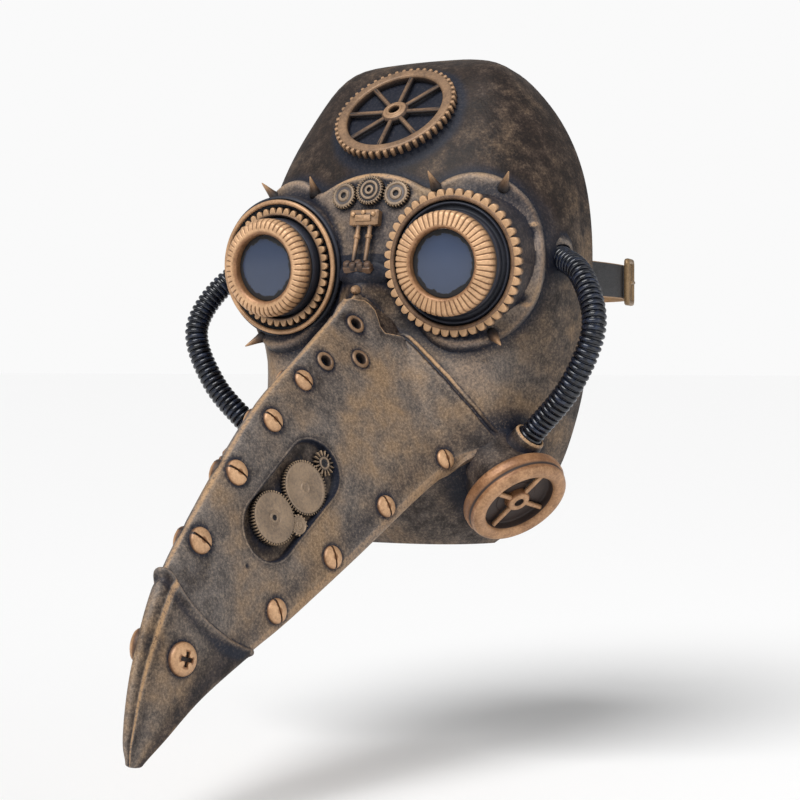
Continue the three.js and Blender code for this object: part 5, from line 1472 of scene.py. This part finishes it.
def makeBuckle():
    shares = np.linspace(1, 0.5, 2000)
    spot = shares[np.argmax(strapPoint(shares)[:, 1] >= buckle["y"])]
    centre = strapPoint(spot)
    along = strapPoint(spot - 1e-3) - centre
    outward = unit(np.cross(along, upward))
    bar, thick = buckle["bar"] / 2, buckle["thick"] / 2
    place = frameAt(centre + outward * (strap["thick"] / 2 + buckle["gap"] + thick), outward, along)
    x, y = buckle["length"] / 2 - bar, buckle["height"] / 2 - bar
    path = rounded([(-x, -y), (x, -y), (x, y), (-x, y)], buckle["corner"], 5)
    ahead = unit(np.roll(path, -1, 0) - np.roll(path, 1, 0))
    wide = np.stack([ahead[:, 1], -ahead[:, 0]], 1)
    angle = circleOf(12)
    across, high = (np.sign(part) * np.abs(part) ** buckle["square"]
                    for part in (np.cos(angle), np.sin(angle)))
    flat = path[:, None, :] + wide[:, None, :] * (bar * across)[None, :, None]
    loops = np.concatenate([flat, np.broadcast_to((thick * high)[None, :, None], (*flat.shape[:2], 1))], -1)
    bit = loft(loops, "ring", 0.5)
    bit = bit + block(buckle["middleBar"], buckle["height"] - buckle["bar"], 2.2, 0.7, 0.4)
    prong = block(buckle["length"] / 2 + 1.5, 2.2, 1.6, 0.6, 0.5)
    prong = prong.placed(shifted(buckle["length"] / 4, 0, 0.9))
    addPiece("strapBuckle", (bit + prong).placed(place), brass, ["strap_buckle"], 50)


makeStrap()
makeBuckle()
print("strap made")


# Painted occlusion shade: grime rises where other surfaces stand close round a point, darkening recesses as
# shade would
shadeRays = dict(reach=0.009, lift=0.0003, rays=12, golden=2.39996, strength=1.15, side=(0.36, 0.48, 0.8))


def surroundings(pieces):
    points, faces = [], []
    for piece in pieces:
        start = len(points)
        points += [vertex.co[:] for vertex in piece.data.vertices]
        faces += [[i + start for i in face.vertices] for face in piece.data.polygons]
    return BVHTree.FromPolygons(points, faces)


def paintOcclusionShade(finishes):
    pieces = [thing for thing in scene.objects if thing.type == "MESH" and "rubAndSheen" in thing.data.attributes]
    around = surroundings(pieces)
    k = np.arange(shadeRays["rays"]) + 0.5
    out = np.sqrt(k / shadeRays["rays"])
    turn = k * shadeRays["golden"]
    rays = np.stack([out * np.cos(turn), out * np.sin(turn), np.sqrt(1 - out ** 2)], 1)
    for mesh in (piece.data for piece in pieces if piece.data.materials[0] in finishes):
        count = len(mesh.vertices)
        spot, grimeAndShade = np.empty(count * 3), np.empty(count, np.float32)
        normal = np.empty(count * 3, np.float32)
        mesh.vertices.foreach_get("co", spot)
        mesh.vertex_normals.foreach_get("vector", normal)
        mesh.attributes["grimeAndShade"].data.foreach_get("value", grimeAndShade)
        normal = normal.reshape(-1, 3).astype(float)
        side = unit(np.cross(normal, shadeRays["side"]) + 1e-9)
        frames = np.stack([side, np.cross(normal, side), normal], 1)
        aims = np.einsum("rk,nkc->nrc", rays, frames).tolist()
        starts = (spot.reshape(-1, 3) + normal * shadeRays["lift"]).tolist()
        closed = np.zeros(count)
        for i, start in enumerate(starts):
            for aim in aims[i]:
                away = around.ray_cast(start, aim, shadeRays["reach"])[3]
                if away is not None:
                    closed[i] += 1 - away / shadeRays["reach"]
        # painted shade: the share of short rays that hit nearby surfaces is added to grime
        grimeAndShade = np.clip(grimeAndShade + shadeRays["strength"] * closed / shadeRays["rays"], 0, 1)
        mesh.attributes["grimeAndShade"].data.foreach_set("value", grimeAndShade.astype(np.float32))


paintOcclusionShade([latex, plateLatex, bronze, greyBronze, oldIron, agedCopper])
print("wash run in")


# Camera, floor and light; the focal length is in pixels of a picture 800 wide
shot = dict(turn=28.5, rise=1.0, distance=1100, across=-8.5, above=-66, focal=2145, pixels=800, sensor=36)
studio = dict(sky=0.38, backdrop=0.955, floorTone=0.96, floorRough=0.9, floorHalf=30, floorDrop=0.03,
              middle=(0.0, -0.12, -0.12), lampAway=1.6, lamps=[
                  # name, kind, turn, rise, power, size in degrees for a sun and metres for a panel
                  ("key", "SUN", -6, 50, 2.6, 40), ("fill", "AREA", 78, 16, 4, 1.1)])


def viewAxes(turn, rise):  # rightward and backward axes of a viewer or lamp
    turn, rise = math.radians(turn), math.radians(rise)
    right = np.array([math.cos(turn), math.sin(turn), 0])
    back = np.array([math.sin(turn) * math.cos(rise), -math.cos(turn) * math.cos(rise), math.sin(rise)])
    return right, back


def makeCamera():
    right, back = viewAxes(shot["turn"], shot["rise"])
    up = np.cross(back, right)
    eye = toPart(right * shot["across"] + up * shot["above"] + back * shot["distance"])
    lens = bpy.data.cameras.new("photoCamera")
    lens.sensor_width = shot["sensor"]
    lens.lens = shot["sensor"] * shot["focal"] / shot["pixels"]
    lens.clip_start = 0.01
    scene.camera = linked("photoCamera", lens)
    scene.camera.matrix_world = Matrix(frameAt(eye, back, right).tolist())


def makeFloor():
    stone = bpy.data.materials.new("paleFloor")
    stone.use_nodes = True
    feed(stone.node_tree, stone.node_tree.nodes["Principled BSDF"],
         {"Base Color": (*[studio["floorTone"]] * 3, 1), "Roughness": studio["floorRough"]})
    mesh = bpy.data.meshes.new("paleFloor")
    reach, low = studio["floorHalf"], float(cadBox[0][2]) - studio["floorDrop"]
    corners = [(-reach, -reach, low), (reach, -reach, low), (reach, reach, low), (-reach, reach, low)]
    mesh.from_pydata(corners, [], [(0, 1, 2, 3)])
    mesh.materials.append(stone)
    linked("paleFloor", mesh)


def makeSky():  # the camera sees a white wall as bright as the floor
    world = bpy.data.worlds.new("studio")
    scene.world = world
    world.use_nodes = True
    tree = world.node_tree
    feed(tree, tree.nodes["Background"], {"Color": (1, 1, 1, 1), "Strength": studio["sky"]})
    backdrop = putNode(tree, "ShaderNodeBackground", {},
                       {"Color": (1, 1, 1, 1), "Strength": studio["backdrop"]})
    path = putNode(tree, "ShaderNodeLightPath", {}, {})
    mix = putNode(tree, "ShaderNodeMixShader", {}, {
        0: path["Is Camera Ray"], 1: tree.nodes["Background"].outputs[0], 2: backdrop[0]})
    tree.links.new(mix[0], tree.nodes["World Output"].inputs["Surface"])


def makeLamps():
    for word, kind, turn, rise, power, size in studio["lamps"]:
        lamp = bpy.data.lights.new(word, kind)
        lamp.energy = power
        if kind == "SUN":
            lamp.angle = math.radians(size)
        else:
            lamp.size = size
        right, back = viewAxes(turn, rise)
        place = frameAt(np.array(studio["middle"]) + back * studio["lampAway"], back, right)
        linked(word, lamp).matrix_world = Matrix(place.tolist())


makeCamera()
makeFloor()
makeSky()
makeLamps()
scene.view_settings.view_transform = "Standard"
print("stage set")
